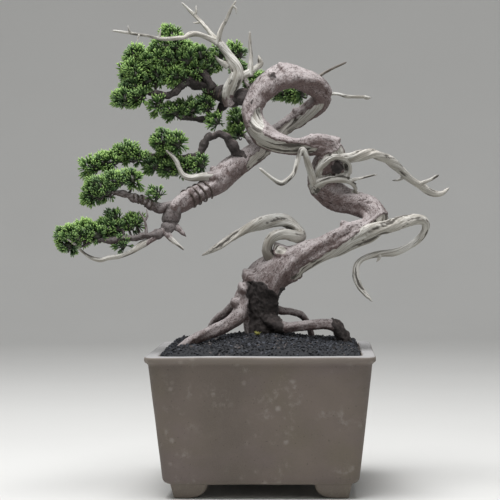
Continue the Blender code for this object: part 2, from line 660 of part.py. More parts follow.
def limb_cutters(piece, names):
    """Limbs grown by the clearance, for those of the names whose boxes meet the piece's box."""
    corners = [Vector(corner) for corner in piece.bound_box]
    box = ([min(c[axis] for c in corners) for axis in range(3)],
           [max(c[axis] for c in corners) for axis in range(3)])
    cutters = []
    for name in names:
        for index, (path, resolution) in enumerate(LIMBS[name]):
            grown = grown_path(path, GAP)
            if boxes_meet(box_of(grown), box):
                label = "%s_at_%s_%d" % (piece.name, name, index)
                cutters.append(tube(label, grown, CUTTERS, resolution))
    return cutters


def build_trunk():
    """The trunk, with the shelf and the ridge of deadwood that grew on its front."""
    parts = [(tree_path(TRUNK, steps=2), 2), (tree_path(SHELF), 1), (tree_path(EYE_RIM), 1)]
    LIMBS["trunk"] = parts
    trunk = tube("trunk", parts[0][0], MODEL, parts[0][1])
    ridges = [tube("ridge_%d" % index, path, CUTTERS, resolution)
              for index, (path, resolution) in enumerate(parts[1:])]
    combine(trunk, ridges, "UNION")
    dress(trunk, "bark")


def build_limbs(table, finish, resolution, ends_in_bed=False):
    """Limbs that start inside an older one and are cut back to its surface."""
    for name, rows in table.items():
        older = list(LIMBS)
        path = tree_path(rows, ends_in_bed)
        piece = tube(name, path, MODEL, resolution)
        cutters = limb_cutters(piece, older)
        combine(piece, cutters, "DIFFERENCE")
        LIMBS[name] = [(path, resolution)]
        dress(piece, finish)


def coil_path(limb_path, start, end, turns):
    """A helix round a stretch of a limb, standing a clearance off its widest radius."""
    last = len(limb_path) - 1
    count = turns * WIRE_POINTS_PER_TURN
    side = Vector((0.0, 1.0, 0.0))
    path = []
    for step in range(count + 1):
        position = last * (start + (end - start) * step / count)
        index = min(int(position), last - 1)
        point = limb_path[index].lerp(limb_path[index + 1], position - index)
        ahead = limb_path[min(index + 2, last)].xyz - limb_path[max(index - 1, 0)].xyz
        side = (side - ahead * side.dot(ahead) / ahead.length_squared).normalized()
        up = ahead.normalized().cross(side)
        angle = 2 * math.pi * step / WIRE_POINTS_PER_TURN
        reach = point[3] + TRAINING_WIRE_RADIUS + GAP + COIL_SLACK
        place = point.xyz + (side * math.cos(angle) + up * math.sin(angle)) * reach
        path.append(Vector((*place, TRAINING_WIRE_RADIUS)))
    return path


def build_training_wires():
    for name, (limb, start, end, turns) in TRAINING_WIRES.items():
        path = coil_path(LIMBS[limb][0][0], start, end, turns)
        older = [other for other in LIMBS if other != limb and not other.startswith("training")]
        wire = tube(name, path, MODEL, resolution=0)
        combine(wire, limb_cutters(wire, older), "DIFFERENCE")
        LIMBS[name] = [(path, 0)]
        dress(wire, "wire")


def cushions(name, rows, grow, collection):
    """The rows of a foliage pad as ellipsoids, each a separate object."""
    made = []
    for index, row in enumerate(rows):
        bm = bmesh.new()
        place = Vector(row[:3]) * MM * TREE_SCALE + Vector((0.0, 0.0, POT_HEIGHT))
        halves = [size * MM * TREE_SCALE + grow for size in row[3:]]
        bmesh.ops.create_uvsphere(bm, u_segments=10, v_segments=6, radius=1.0,
                                  matrix=Matrix.Translation(place) @ Matrix.Diagonal((*halves, 1.0)))
        made.append(place_mesh("%s_%d" % (name, index), bm, collection))
    return made


def build_foliage():
    """Pads of foliage, each one connected body that leaves room for the limbs that carry it."""
    older = []
    for name, rows in FOLIAGE.items():
        first, *others = cushions(name, rows, 0.0, CUTTERS)
        pad = place_mesh(name, evaluated_bmesh(first), MODEL)
        combine(pad, others, "UNION")
        cutters = limb_cutters(pad, list(LIMBS))
        for other in older:
            cutters += cushions("%s_from_%s" % (name, other), FOLIAGE[other], GAP, CUTTERS)
        combine(pad, cutters, "DIFFERENCE")
        dress(pad, "foliage")
        older.append(name)


clear_scene()
MODEL = new_collection("bonsai")
CUTTERS = new_collection("cutters")
LIMBS = {}
build_pot()
build_trunk()
build_limbs(ROOTS, "bark", 2, ends_in_bed=True)
build_limbs(BRANCHES, "bark", 2)
build_limbs(DEADWOOD, "deadwood", 1)
build_training_wires()
build_foliage()
build_fill()
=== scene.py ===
# %% [markdown]
# # An old juniper bonsai in a square stoneware pot
# The tree is a scale-leaf juniper with a looping trunk. Much of its wood is dead and bleached,
# which growers call jin when it is a bare branch and shari when it is a strip along the trunk.
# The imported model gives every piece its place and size. This script gives each one its surface.

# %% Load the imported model
import math

import bmesh
import bpy
import numpy as np
from mathutils import Matrix, Vector, noise


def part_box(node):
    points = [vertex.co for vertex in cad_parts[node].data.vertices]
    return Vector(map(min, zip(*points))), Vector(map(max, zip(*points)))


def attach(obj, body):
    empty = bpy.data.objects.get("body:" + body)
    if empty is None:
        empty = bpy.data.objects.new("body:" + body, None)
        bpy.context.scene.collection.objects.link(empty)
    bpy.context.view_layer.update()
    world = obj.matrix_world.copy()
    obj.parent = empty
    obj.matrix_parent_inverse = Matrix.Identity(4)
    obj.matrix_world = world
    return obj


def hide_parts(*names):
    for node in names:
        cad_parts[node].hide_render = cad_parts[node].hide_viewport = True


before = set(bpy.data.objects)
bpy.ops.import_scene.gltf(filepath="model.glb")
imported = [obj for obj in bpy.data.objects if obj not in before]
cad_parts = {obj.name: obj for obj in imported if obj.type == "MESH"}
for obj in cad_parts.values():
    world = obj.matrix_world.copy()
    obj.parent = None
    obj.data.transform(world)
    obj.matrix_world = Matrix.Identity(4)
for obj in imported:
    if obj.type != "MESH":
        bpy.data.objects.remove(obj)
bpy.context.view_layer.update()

pot_low, pot_high = (Vector(corner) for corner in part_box("pot"))

# %% Millimetres from the middle of the pot's mouth
# A tree is measured from where it stands, so every table below counts from there.
MM = 0.001
RIM_HEIGHT = pot_high.z
MOUTH = Vector((0.0, 0.0, RIM_HEIGHT))


def from_mouth(place):
    """A place in millimetres from the mouth, in metres from the table."""
    return Vector(place) * MM + MOUTH


def to_mouth(point):
    """The other way round."""
    return (Vector(point) - MOUTH) / MM


# %% [markdown]
# ## Camera, light and floor
# The tree is seen from the front and a little from the right of its middle, from far away with a
# long lens, so the pot's sides hardly converge. The light is one large soft panel overhead, a weak
# one from the right, and a pale surrounding, as in a small light tent.

# %% Camera
CAMERA_PLACE = Vector((0.066, -2.074, 0.306))
CAMERA_TURN = math.radians(2.22)   # to the left of straight ahead
CAMERA_DIP = math.radians(0.95)    # below the horizon
CAMERA_ROLL = math.radians(-0.3)
LENS = 130.0                       # millimetres
SENSOR_WIDTH = 36.0
FARTHEST_SEEN = 50.0               # metres

camera_data = bpy.data.cameras.new("camera")
camera_data.lens = LENS
camera_data.sensor_width = SENSOR_WIDTH
camera_data.clip_end = FARTHEST_SEEN
camera = bpy.data.objects.new("camera", camera_data)
bpy.context.scene.collection.objects.link(camera)
level = Matrix.Rotation(CAMERA_TURN, 4, "Z") @ Matrix.Rotation(math.pi / 2 - CAMERA_DIP, 4, "X")
rolled = level @ Matrix.Rotation(CAMERA_ROLL, 4, "Z")
camera.matrix_world = Matrix.Translation(CAMERA_PLACE) @ rolled
bpy.context.scene.camera = camera
print("camera:", [round(value, 3) for value in camera.matrix_world.translation])

# %% Lights and surroundings
TREE_MIDDLE = (0.0, 0.0, 0.30)
PANELS = {  # place, width in metres, power in watts
    "overhead": ((-0.25, -0.35, 2.1), 1.5, 64.0),
    "right_fill": ((2.0, -1.7, 0.9), 1.8, 5.0),
}
SURROUNDINGS_COLOR = (0.80, 0.80, 0.79)
SURROUNDINGS_STRENGTH = 0.40

for name, (place, width, power) in PANELS.items():
    data = bpy.data.lights.new(name, "AREA")
    data.shape = "SQUARE"
    data.size = width
    data.energy = power
    light = bpy.data.objects.new(name, data)
    bpy.context.scene.collection.objects.link(light)
    light.location = place
    aim = Vector(TREE_MIDDLE) - Vector(place)
    light.rotation_euler = aim.to_track_quat("-Z", "Y").to_euler()
world = bpy.data.worlds.new("surroundings")
world.use_nodes = True
background = world.node_tree.nodes["Background"]
background.inputs["Color"].default_value = (*SURROUNDINGS_COLOR, 1.0)
background.inputs["Strength"].default_value = SURROUNDINGS_STRENGTH
bpy.context.scene.world = world
bpy.context.scene.view_settings.view_transform = "Standard"


# %% [markdown]
# ## Small helpers for node trees
# A node tree reads best as arithmetic. `Value` wraps an output socket, so that `1 - mask * 0.5`
# adds the Math nodes by itself. `Graph` adds any node from its type, its settings and the values
# or links of its sockets. `Finish` is such a graph for a material, and `Recipe` one for a
# Geometry Nodes tree, where what repeats is made by a rule and not by hand.

# %% Arithmetic on sockets
class Value:
    """An output socket that takes part in Python arithmetic."""

    def __init__(self, graph, socket):
        self.graph = graph
        self.socket = socket

    def __add__(self, other):
        return self.graph.math("ADD", self, other)

    def __radd__(self, other):
        return self.graph.math("ADD", other, self)

    def __sub__(self, other):
        return self.graph.math("SUBTRACT", self, other)

    def __rsub__(self, other):
        return self.graph.math("SUBTRACT", other, self)

    def __mul__(self, other):
        return self.graph.math("MULTIPLY", self, other)

    def __rmul__(self, other):
        return self.graph.math("MULTIPLY", other, self)

    def __pow__(self, other):
        return self.graph.math("POWER", self, other)


# %% Any node, and short names for the usual ones
class Graph:
    """A node tree with one method that adds any node."""

    def __init__(self, tree):
        self.tree = tree

    def plug(self, socket, value):
        """Links a Value to the socket, or sets the socket to a plain value."""
        if isinstance(value, Value):
            self.tree.links.new(value.socket, socket)
        else:
            socket.default_value = value

    def add(self, kind, inputs=None, output=0, **settings):
        """Adds a node: its settings first, then its sockets by name or number."""
        node = self.tree.nodes.new(kind)
        for name, value in settings.items():
            setattr(node, name, value)
        for name, value in (inputs or {}).items():
            self.plug(node.inputs[name], value)
        return Value(self, node.outputs[output])

    def math(self, operation, first, second=0.0):
        return self.add("ShaderNodeMath", {0: first, 1: second}, operation=operation)

    def vector(self, operation, first, second, third=(0.0, 0.0, 0.0), output=0):
        return self.add("ShaderNodeVectorMath", {0: first, 1: second, 2: third}, output,
                        operation=operation)

    def step(self, value, low, high):
        """0 below low, 1 above high, and a smooth rise between them."""
        return self.add("ShaderNodeMapRange", {"Value": value, "From Min": low, "From Max": high},
                        interpolation_type="SMOOTHSTEP")

    def noise(self, vector, scale, detail=3.0, roughness=0.5, output=0):
        """Soft noise between 0 and 1; output 1 gives a vector of three of them."""
        return self.add("ShaderNodeTexNoise", {"Vector": vector, "Scale": scale, "Detail": detail,
                                               "Roughness": roughness}, output)

    def stretched(self, vector, factors, detail=3.0, roughness=0.5):
        """Noise with its own number of waves to the metre on each axis."""
        return self.noise(self.vector("MULTIPLY", vector, factors), 1.0, detail, roughness)

    def streaks(self, grain, along, around, detail=3.0, roughness=0.5):
        """Noise drawn out along a limb: waves to the metre along it and around it."""
        return self.stretched(grain, (along, around, around), detail, roughness)

    def cells(self, vector, scale):
        """The distance to the nearest of many scattered points."""
        return self.add("ShaderNodeTexVoronoi", {"Vector": vector, "Scale": scale})


# %% Materials
class Finish(Graph):
    """A material whose Principled shader is fed by the graph."""

    def __init__(self, name):
        self.material = bpy.data.materials.new(name)
        self.material.use_nodes = True
        super().__init__(self.material.node_tree)
        self.shader = self.tree.nodes["Principled BSDF"]

    def attribute(self, name, output="Fac"):
        return self.add("ShaderNodeAttribute", output=output, attribute_name=name)

    def place(self):
        return self.add("ShaderNodeTexCoord", output="Object")

    def mix(self, factor, first, second):
        """Mixes two colours, each an RGB triple or a link."""
        first, second = (value if isinstance(value, Value) else (*value, 1.0)
                         for value in (first, second))
        return self.add("ShaderNodeMix", {0: factor, 6: first, 7: second}, output=2,
                        data_type="RGBA", blend_type="MIX")

    def bump(self, height, strength, distance):
        return self.add("ShaderNodeBump",
                        {"Height": height, "Strength": strength, "Distance": distance})

    def set(self, **values):
        """Plugs values into the shader's sockets, named with _ for a space."""
        for name, value in values.items():
            self.plug(self.shader.inputs[name.replace("_", " ")], value)
        return self.material


# %% Geometry Nodes trees
MOST_POINTS = 400000.0   # to the square metre


class Recipe(Graph):
    """A Geometry Nodes tree with a geometry and named inputs, and a geometry out."""

    def __init__(self, name, inputs):
        super().__init__(bpy.data.node_groups.new(name, "GeometryNodeTree"))
        sockets = self.tree.interface
        sockets.new_socket("Geometry", in_out="INPUT", socket_type="NodeSocketGeometry")
        for label, (kind, value) in inputs.items():
            socket = sockets.new_socket(label, in_out="INPUT", socket_type="NodeSocket" + kind)
            if value is not None:
                socket.default_value = value
        sockets.new_socket("Geometry", in_out="OUTPUT", socket_type="NodeSocketGeometry")
        entry = self.tree.nodes.new("NodeGroupInput")
        self.given = {socket.name: Value(self, socket) for socket in entry.outputs if socket.name}

    def field(self, name, kind="FLOAT"):
        """Reads what is stored on the points under a name."""
        return self.add("GeometryNodeInputNamedAttribute", {"Name": name}, data_type=kind)

    def store(self, geometry, name, value, domain="POINT"):
        """Stores a number under a name, for the material to read."""
        return self.add("GeometryNodeStoreNamedAttribute",
                        {"Geometry": geometry, "Name": name, "Value": value},
                        data_type="FLOAT", domain=domain)

    def random(self, low, high, seed):
        """A random number, or a random vector where low and high are triples."""
        if isinstance(low, tuple):
            return self.add("FunctionNodeRandomValue", {0: low, 1: high, "Seed": seed},
                            data_type="FLOAT_VECTOR")
        return self.add("FunctionNodeRandomValue", {2: low, 3: high, "Seed": seed}, output=1,
                        data_type="FLOAT")

    def spread(self, **inputs):
        """Points over the faces of the given geometry, none nearer than Distance Min."""
        inputs = {name.replace("_", " "): value for name, value in inputs.items()}
        return self.add("GeometryNodeDistributePointsOnFaces",
                        {"Mesh": self.given["Geometry"], "Density Max": MOST_POINTS,
                         "Seed": self.given["Seed"], **inputs}, distribute_method="POISSON")

    def shape_of(self, thing, as_instance=False):
        """The geometry of an object, as it is or as one instance."""
        return self.add("GeometryNodeObjectInfo", {"Object": thing, "As Instance": as_instance},
                        output=4)

    def join(self, *geometries):
        joined = self.add("GeometryNodeJoinGeometry")
        for geometry in geometries:
            self.tree.links.new(geometry.socket, joined.socket.node.inputs[0])
        return joined

    def close(self, geometry):
        """Makes instances real, gives them the finish and links them to the tree's output."""
        whole = self.add("GeometryNodeRealizeInstances", {0: geometry})
        dressed = self.add("GeometryNodeSetMaterial",
                           {"Geometry": whole, "Material": self.given["Finish"]})
        self.plug(self.tree.nodes.new("NodeGroupOutput").inputs[0], dressed)
        return self.tree


def with_nodes(thing, tree, **values):
    """Gives an object a Geometry Nodes modifier, with inputs named with _ for a space."""
    modifier = thing.modifiers.new(tree.name, "NODES")
    modifier.node_group = tree
    sockets = {item.name: item.identifier for item in tree.interface.items_tree
               if item.in_out == "INPUT"}
    for name, value in values.items():
        modifier[sockets[name.replace("_", " ")]] = value
    return thing


# %% [markdown]
# ## Small helpers for meshes
# Every finished piece is a plain mesh at the origin. A modifier could be left live, but a mesh that
# holds its own shape is the same everywhere. So modifiers are evaluated once and taken off, and
# then the piece is put under its body, and the nodes that it stands for are hidden.

# %% Meshes and objects
def linked(name, mesh):
    """An object for a mesh, put in the scene."""
    thing = bpy.data.objects.new(name, mesh)
    bpy.context.scene.collection.objects.link(thing)
    return thing


def linked_from(name, bm):
    """An object for a bmesh, which is used up."""
    mesh = bpy.data.meshes.new(name)
    bm.to_mesh(mesh)
    bm.free()
    return linked(name, mesh)


def store_attributes(mesh, attributes):
    """Stores a number or a vector on every point of a mesh, under each name."""
    for name, values in attributes.items():
        values = np.asarray(values, dtype=np.float32)
        kind, slot = ("FLOAT_VECTOR", "vector") if values.ndim == 2 else ("FLOAT", "value")
        mesh.attributes.new(name, kind, "POINT").data.foreach_set(slot, values.ravel())


def mesh_object(name, vertices, faces, attributes=None):
    """A smooth mesh object at the origin, with numbers or vectors on its points."""
    mesh = bpy.data.meshes.new(name)
    mesh.from_pydata([tuple(point) for point in vertices], [], faces)
    store_attributes(mesh, attributes or {})
    mesh.shade_smooth()
    return linked(name, mesh)


def melt(thing, voxel):
    """Adds a Remesh modifier, which makes one skin of all that the object holds."""
    remesh = thing.modifiers.new("voxels", "REMESH")
    remesh.mode = "VOXEL"
    remesh.voxel_size = voxel


def baked(thing):
    """Replaces an object's mesh with the one its modifiers make, and removes the modifiers."""
    depsgraph = bpy.context.evaluated_depsgraph_get()
    mesh = bpy.data.meshes.new_from_object(thing.evaluated_get(depsgraph), depsgraph=depsgraph,
                                           preserve_all_data_layers=True)
    thing.modifiers.clear()
    thing.data = mesh
    return thing


def remove(things):
    for thing in things:
        bpy.data.objects.remove(thing, do_unlink=True)


# %% Hand a piece to the model
def keep(piece, slot, *nodes, material=None):
    """Hands over a finished piece: its body and the nodes it stands for; `slot` is not used."""
    if material is not None:
        piece.data.materials.clear()
        piece.data.materials.append(material)
    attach(piece, "root")
    if nodes:
        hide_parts(*nodes)
    triangles = sum(len(polygon.vertices) - 2 for polygon in piece.data.polygons)
    print("%-26s %7d triangles, stands for %s"
          % (piece.name, triangles, ", ".join(nodes) or "itself"))


# %% Floor
FLOOR_CENTRE_RING = 0.5   # metres
FLOOR_RADIUS = 2.5        # metres of flat floor round the pot
SWEEP_RADIUS = 1.4        # the floor bends up into a low wall on this radius
SWEEP_SIDES = 96
SWEEP_STEPS = 24
FLOOR_TONES = (0.62, 0.62, 0.61), (0.66, 0.66, 0.65)


def make_floor():
    """A pale floor that curves up all round, so that no edge shows behind the tree."""
    profile = [(FLOOR_CENTRE_RING, 0.0), (FLOOR_RADIUS, 0.0)]
    for step in range(1, SWEEP_STEPS + 1):
        angle = 0.5 * math.pi * step / SWEEP_STEPS
        profile.append((FLOOR_RADIUS + SWEEP_RADIUS * math.sin(angle),
                        SWEEP_RADIUS * (1.0 - math.cos(angle))))
    points, faces = [(0.0, 0.0, 0.0)], []
    for radius, height in profile:
        for side in range(SWEEP_SIDES):
            turn = 2 * math.pi * side / SWEEP_SIDES
            points.append((radius * math.cos(turn), radius * math.sin(turn), height))
    for side in range(SWEEP_SIDES):
        following = (side + 1) % SWEEP_SIDES
        faces.append((0, 1 + side, 1 + following))
        for ring in range(len(profile) - 1):
            low, high = 1 + ring * SWEEP_SIDES, 1 + (ring + 1) * SWEEP_SIDES
            faces.append((low + side, high + side, high + following, low + following))
    floor = mesh_object("floor", points, faces)
    finish = Finish("pale_floor")
    speckle = finish.noise(finish.place(), 3.0, 2.0)
    floor.data.materials.append(
        finish.set(Base_Color=finish.mix(speckle, *FLOOR_TONES), Roughness=0.8))
    print("floor:", len(faces), "faces")


make_floor()


# %% [markdown]
# ## The wood: one path, many rings
# Every limb is a smooth path through a few given points, each with a radius. Rings of points
# stand square to the path. An old juniper is never round: it has muscles that twist round it, so
# each ring's radius rises and falls with the angle, and that pattern turns as it goes along.
# Each point also remembers where it is along and around its limb. This is the `grain` vector, and
# every pattern of bark and dead wood is drawn in it, so cracks and fibres follow each bend.

# %% Paths
STEPS_BETWEEN_ROWS = 16


def smooth_path(rows, spacing):
    """Points at an even spacing on a Catmull-Rom curve through rows of x, y, z and radius."""
    knots = np.asarray(rows, dtype=float) * MM
    knots[:, 2] += RIM_HEIGHT
    ends = np.vstack([2 * knots[0] - knots[1], knots, 2 * knots[-1] - knots[-2]])
    share = np.linspace(0, 1, STEPS_BETWEEN_ROWS, endpoint=False)[:, None]
    parts = []
    for index in range(len(knots) - 1):
        before, start, end, after = ends[index:index + 4]
        parts.append(0.5 * (2 * start + (end - before) * share
                            + (2 * before - 5 * start + 4 * end - after) * share ** 2
                            + (3 * start - before - 3 * end + after) * share ** 3))
    fine = np.vstack([*parts, knots[-1:]])
    steps = np.linalg.norm(np.diff(fine[:, :3], axis=0), axis=1)
    along = np.concatenate([[0], np.cumsum(steps)])
    count = max(int(along[-1] / spacing), 4)
    marks = np.linspace(0, along[-1], count + 1)
    return np.column_stack([np.interp(marks, along, fine[:, axis]) for axis in range(4)]), marks


def turning_frames(points):
    """For each point, the path's direction and two square to it that never spin about it."""
    heading = np.gradient(points, axis=0)
    heading /= np.linalg.norm(heading, axis=1)[:, None]
    side = np.cross(heading[0], (0.31, 0.92, 0.24))   # any direction that no limb starts in
    sides = []
    for ahead in heading:
        side = side - ahead * side.dot(ahead)
        side = side / np.linalg.norm(side)
        sides.append(side)
    sides = np.array(sides)
    return heading, sides, np.cross(heading, sides)


# %% Limbs as ringed tubes
BASE_REACH = 0.3   # how far the closing point of the base stands off, in radii


def tube_faces(rings, sides):
    """Quads between rings of points that are listed one after another."""
    faces = []
    for row in range(rings - 1):
        for column in range(sides):
            following = (column + 1) % sides
            faces.append((row * sides + column, row * sides + following,
                          (row + 1) * sides + following, (row + 1) * sides + column))
    return faces


def limb_surface(rows, spacing, sides, flute, twist, lumps, seed=0, blunt=0.9):
    """Vertices, faces and grain of one limb, closed at both ends.

    `flute` is the depth of its muscles and `lumps` of its swellings, in radii; `twist` is the
    turn of the muscles in radians to the metre, and `blunt` the length of the tip in radii."""
    path, marks = smooth_path(rows, spacing)
    heading, across, upward = turning_frames(path[:, :3])
    phases = np.random.default_rng(seed).uniform(0, 2 * math.pi, 6)
    angles = np.linspace(0, 2 * math.pi, sides, endpoint=False)[None, :]
    turn = angles + marks[:, None] * twist
    slow = np.sin(marks[:, None] * 55 + phases[0]) * 0.6
    fold = (np.cos(2 * turn + phases[1] + slow) + 0.8 * np.cos(3 * turn + phases[2] - slow)
            + 0.5 * np.cos(5 * turn + phases[3]) + 0.3 * np.cos(8 * turn + phases[4]))
    swell = np.sin(marks * 95 + phases[5]) * 0.5 + np.sin(marks * 212 + phases[0]) * 0.3
    radius = path[:, 3:4] * (1 + flute * fold * 0.5 + lumps * swell[:, None])
    ring = (across[:, None, :] * np.cos(angles)[..., None]
            + upward[:, None, :] * np.sin(angles)[..., None])
    points = path[:, None, :3] + ring * radius[..., None]
    grain = np.empty_like(points)
    grain[..., 0] = marks[:, None]
    grain[..., 1] = path[:, 3:4] * np.cos(turn)
    grain[..., 2] = path[:, 3:4] * np.sin(turn)
    base = path[0, :3] - heading[0] * path[0, 3] * BASE_REACH
    tip = path[-1, :3] + heading[-1] * path[-1, 3] * blunt
    vertices = np.vstack([points.reshape(-1, 3), [base], [tip]])
    grains = np.vstack([grain.reshape(-1, 3), [(marks[0], 0.0, 0.0)], [(marks[-1], 0.0, 0.0)]])
    rings = len(path)
    faces = tube_faces(rings, sides)
    first, last = rings * sides, rings * sides + 1
    for column in range(sides):
        following = (column + 1) % sides
        faces.append((following, column, first))
        faces.append(((rings - 1) * sides + column, (rings - 1) * sides + following, last))
    return vertices, faces, grains


class Bundle:
    """Many limbs gathered into one mesh."""

    def __init__(self):
        self.points, self.faces, self.grains = [], [], []

    def add(self, points, faces, grain):
        base = sum(len(part) for part in self.points)
        self.points.append(points)
        self.faces += [tuple(corner + base for corner in face) for face in faces]
        self.grains.append(grain)


# %% [markdown]
# ## Where the limbs run
# Each row is x, y, z and radius in millimetres, counted from the middle of the pot's mouth, with
# the front of the tree towards -y. The points are listed along the bends of each limb.

# %% Rows of the live wood
TRUNK = [
    (-1, 0, -36, 24), (-1, 0, -18, 21), (-1, 0, 0, 19), (-2, 0, 18, 18), (-2, 0, 34, 18),
    (-3, -2, 55, 19), (3, -5, 76, 22), (24, -12, 94, 19), (49, -18, 108, 16.5),
    (77, -22, 118, 15.5),
    (103, -23, 129, 15), (121, -20, 134, 15), (130, -13, 147, 15), (123, -3, 161, 15),
    (109, 4, 166, 15), (91, 9, 173, 15), (76, 10, 183, 15), (71, 7, 195, 15.5), (73, 1, 209, 15.5),
    (78, -5, 221, 14), (73, -9, 231, 12), (62, -11, 234, 11), (43, -12, 232, 10.5),
    (24, -14, 235, 12), (6, -14, 243, 13.5), (-7, -12, 256, 12.5), (-11, -8, 273, 11.5),
    (-4, -4, 289, 12), (11, 0, 304, 13), (29, 5, 313, 15), (48, 10, 310, 14), (63, 16, 302, 13.5),
    (71, 23, 292, 12),
]
ROOTS = {
    "root_front_left": [
        (-10, -8, 72, 8), (-23, -16, 63, 7), (-24, -22, 50, 7), (-28, -27, 38, 8),
        (-40, -32, 29, 7.5),
        (-53, -38, 23, 7), (-69, -46, 17, 6), (-83, -54, 10, 5.5), (-94, -62, 3, 4.5),
        (-102, -68, -6, 3.5),
    ],
    "root_back_left": [
        (-12, 6, 65, 6), (-30, 14, 54, 5.5), (-43, 20, 41, 5.5), (-54, 26, 33, 5),
        (-63, 32, 20, 4.5),
        (-71, 38, 0, 3.5),
    ],
    "root_right": [
        (-4, -8, 45, 8), (10, -14, 33, 7), (24, -18, 26, 6), (40, -19, 27, 5.5), (55, -17, 28, 5.5),
        (69, -14, 29, 6), (81, -12, 27, 7), (89, -10, 19, 7), (93, -9, 9, 6.5), (97, -8, -6, 5.5),
    ],
    "root_back_right": [
        (4, 7, 49, 6), (20, 16, 43, 4.5), (33, 24, 41, 4), (45, 32, 36, 4), (53, 40, 23, 4),
        (58, 46, 2, 3.5),
    ],
}
BRANCHES = {
    "branch_low_left": [
        (71, 22, 292, 9.5), (63, 30, 281, 11), (45, 34, 269, 11), (30, 32, 259, 10),
        (15, 26, 247, 10),
        (1, 17, 234, 10.5), (-15, 6, 222, 11.5), (-28, -6, 212, 12), (-40, -16, 202, 12.5),
        (-49, -24, 190, 11.5), (-63, -34, 182, 10.5), (-78, -44, 174, 10.5), (-90, -52, 167, 10),
        (-99, -58, 159, 9),
    ],
    "branch_low_tip": [
        (-97, -55, 164, 7), (-100, -59, 149, 7.5), (-105, -64, 138, 6.5), (-116, -70, 132, 4.5),
        (-131, -76, 131, 3.5), (-148, -82, 129, 3), (-165, -88, 126, 2.5), (-184, -94, 126, 1.5),
    ],
    "branch_left": [
        (-94, -55, 163, 6), (-112, -61, 162, 6), (-123, -65, 166, 4.5), (-131, -68, 171, 4),
        (-141, -72, 173, 3.5), (-153, -75, 178, 2.5), (-173, -79, 182, 1.5),
    ],
    "branch_middle": [
        (-24, -4, 219, 5), (-34, -14, 234, 4.5), (-39, -17, 243, 4), (-48, -19, 247, 3.5),
        (-59, -21, 243, 3.5), (-65, -23, 234, 3.5), (-70, -25, 222, 3.5), (-82, -27, 219, 3),
        (-105, -30, 218, 2.5), (-125, -34, 221, 2), (-148, -42, 216, 2), (-175, -50, 215, 1.5),
    ],
    "branch_crown": [
        (-7, -7, 282, 8.5), (-21, -4, 288, 8), (-34, 0, 288, 8), (-48, 3, 294, 7),
        (-63, 2, 300, 5.5),
        (-75, -2, 304, 5), (-85, -8, 308, 4.5), (-91, -14, 302, 4), (-97, -18, 295, 3.5),
        (-108, -22, 290, 3), (-121, -26, 293, 2.5), (-146, -30, 293, 1.5),
    ],
    "branch_crown_under": [
        (-45, 6, 295, 4), (-44, 12, 282, 3.5), (-51, 10, 271, 3), (-68, 2, 264, 2.5),
        (-90, -8, 266, 2),
    ],
    "branch_crown_top": [
        (-58, 0, 300, 4), (-67, 0, 315, 3.5), (-78, -4, 328, 3), (-90, -6, 342, 2.5),
        (-102, -8, 355, 1.5),
    ],
    "branch_back": [
        (1, 0, 293, 5.5), (-3, 25, 297, 4.5), (-7, 45, 297, 4), (-1, 62, 302, 3),
        (15, 74, 299, 2.5),
        (37, 82, 296, 1.5),
    ],
    "branch_back_top": [
        (-6, 44, 297, 3.5), (-17, 57, 308, 3), (-28, 64, 326, 2.5), (-34, 66, 347, 1.5),
    ],
    "branch_back_low": [
        (-3, 14, 231, 3.5), (-14, 28, 240, 2.5), (-24, 38, 250, 2), (-29, 41, 268, 1.5),
    ],
}

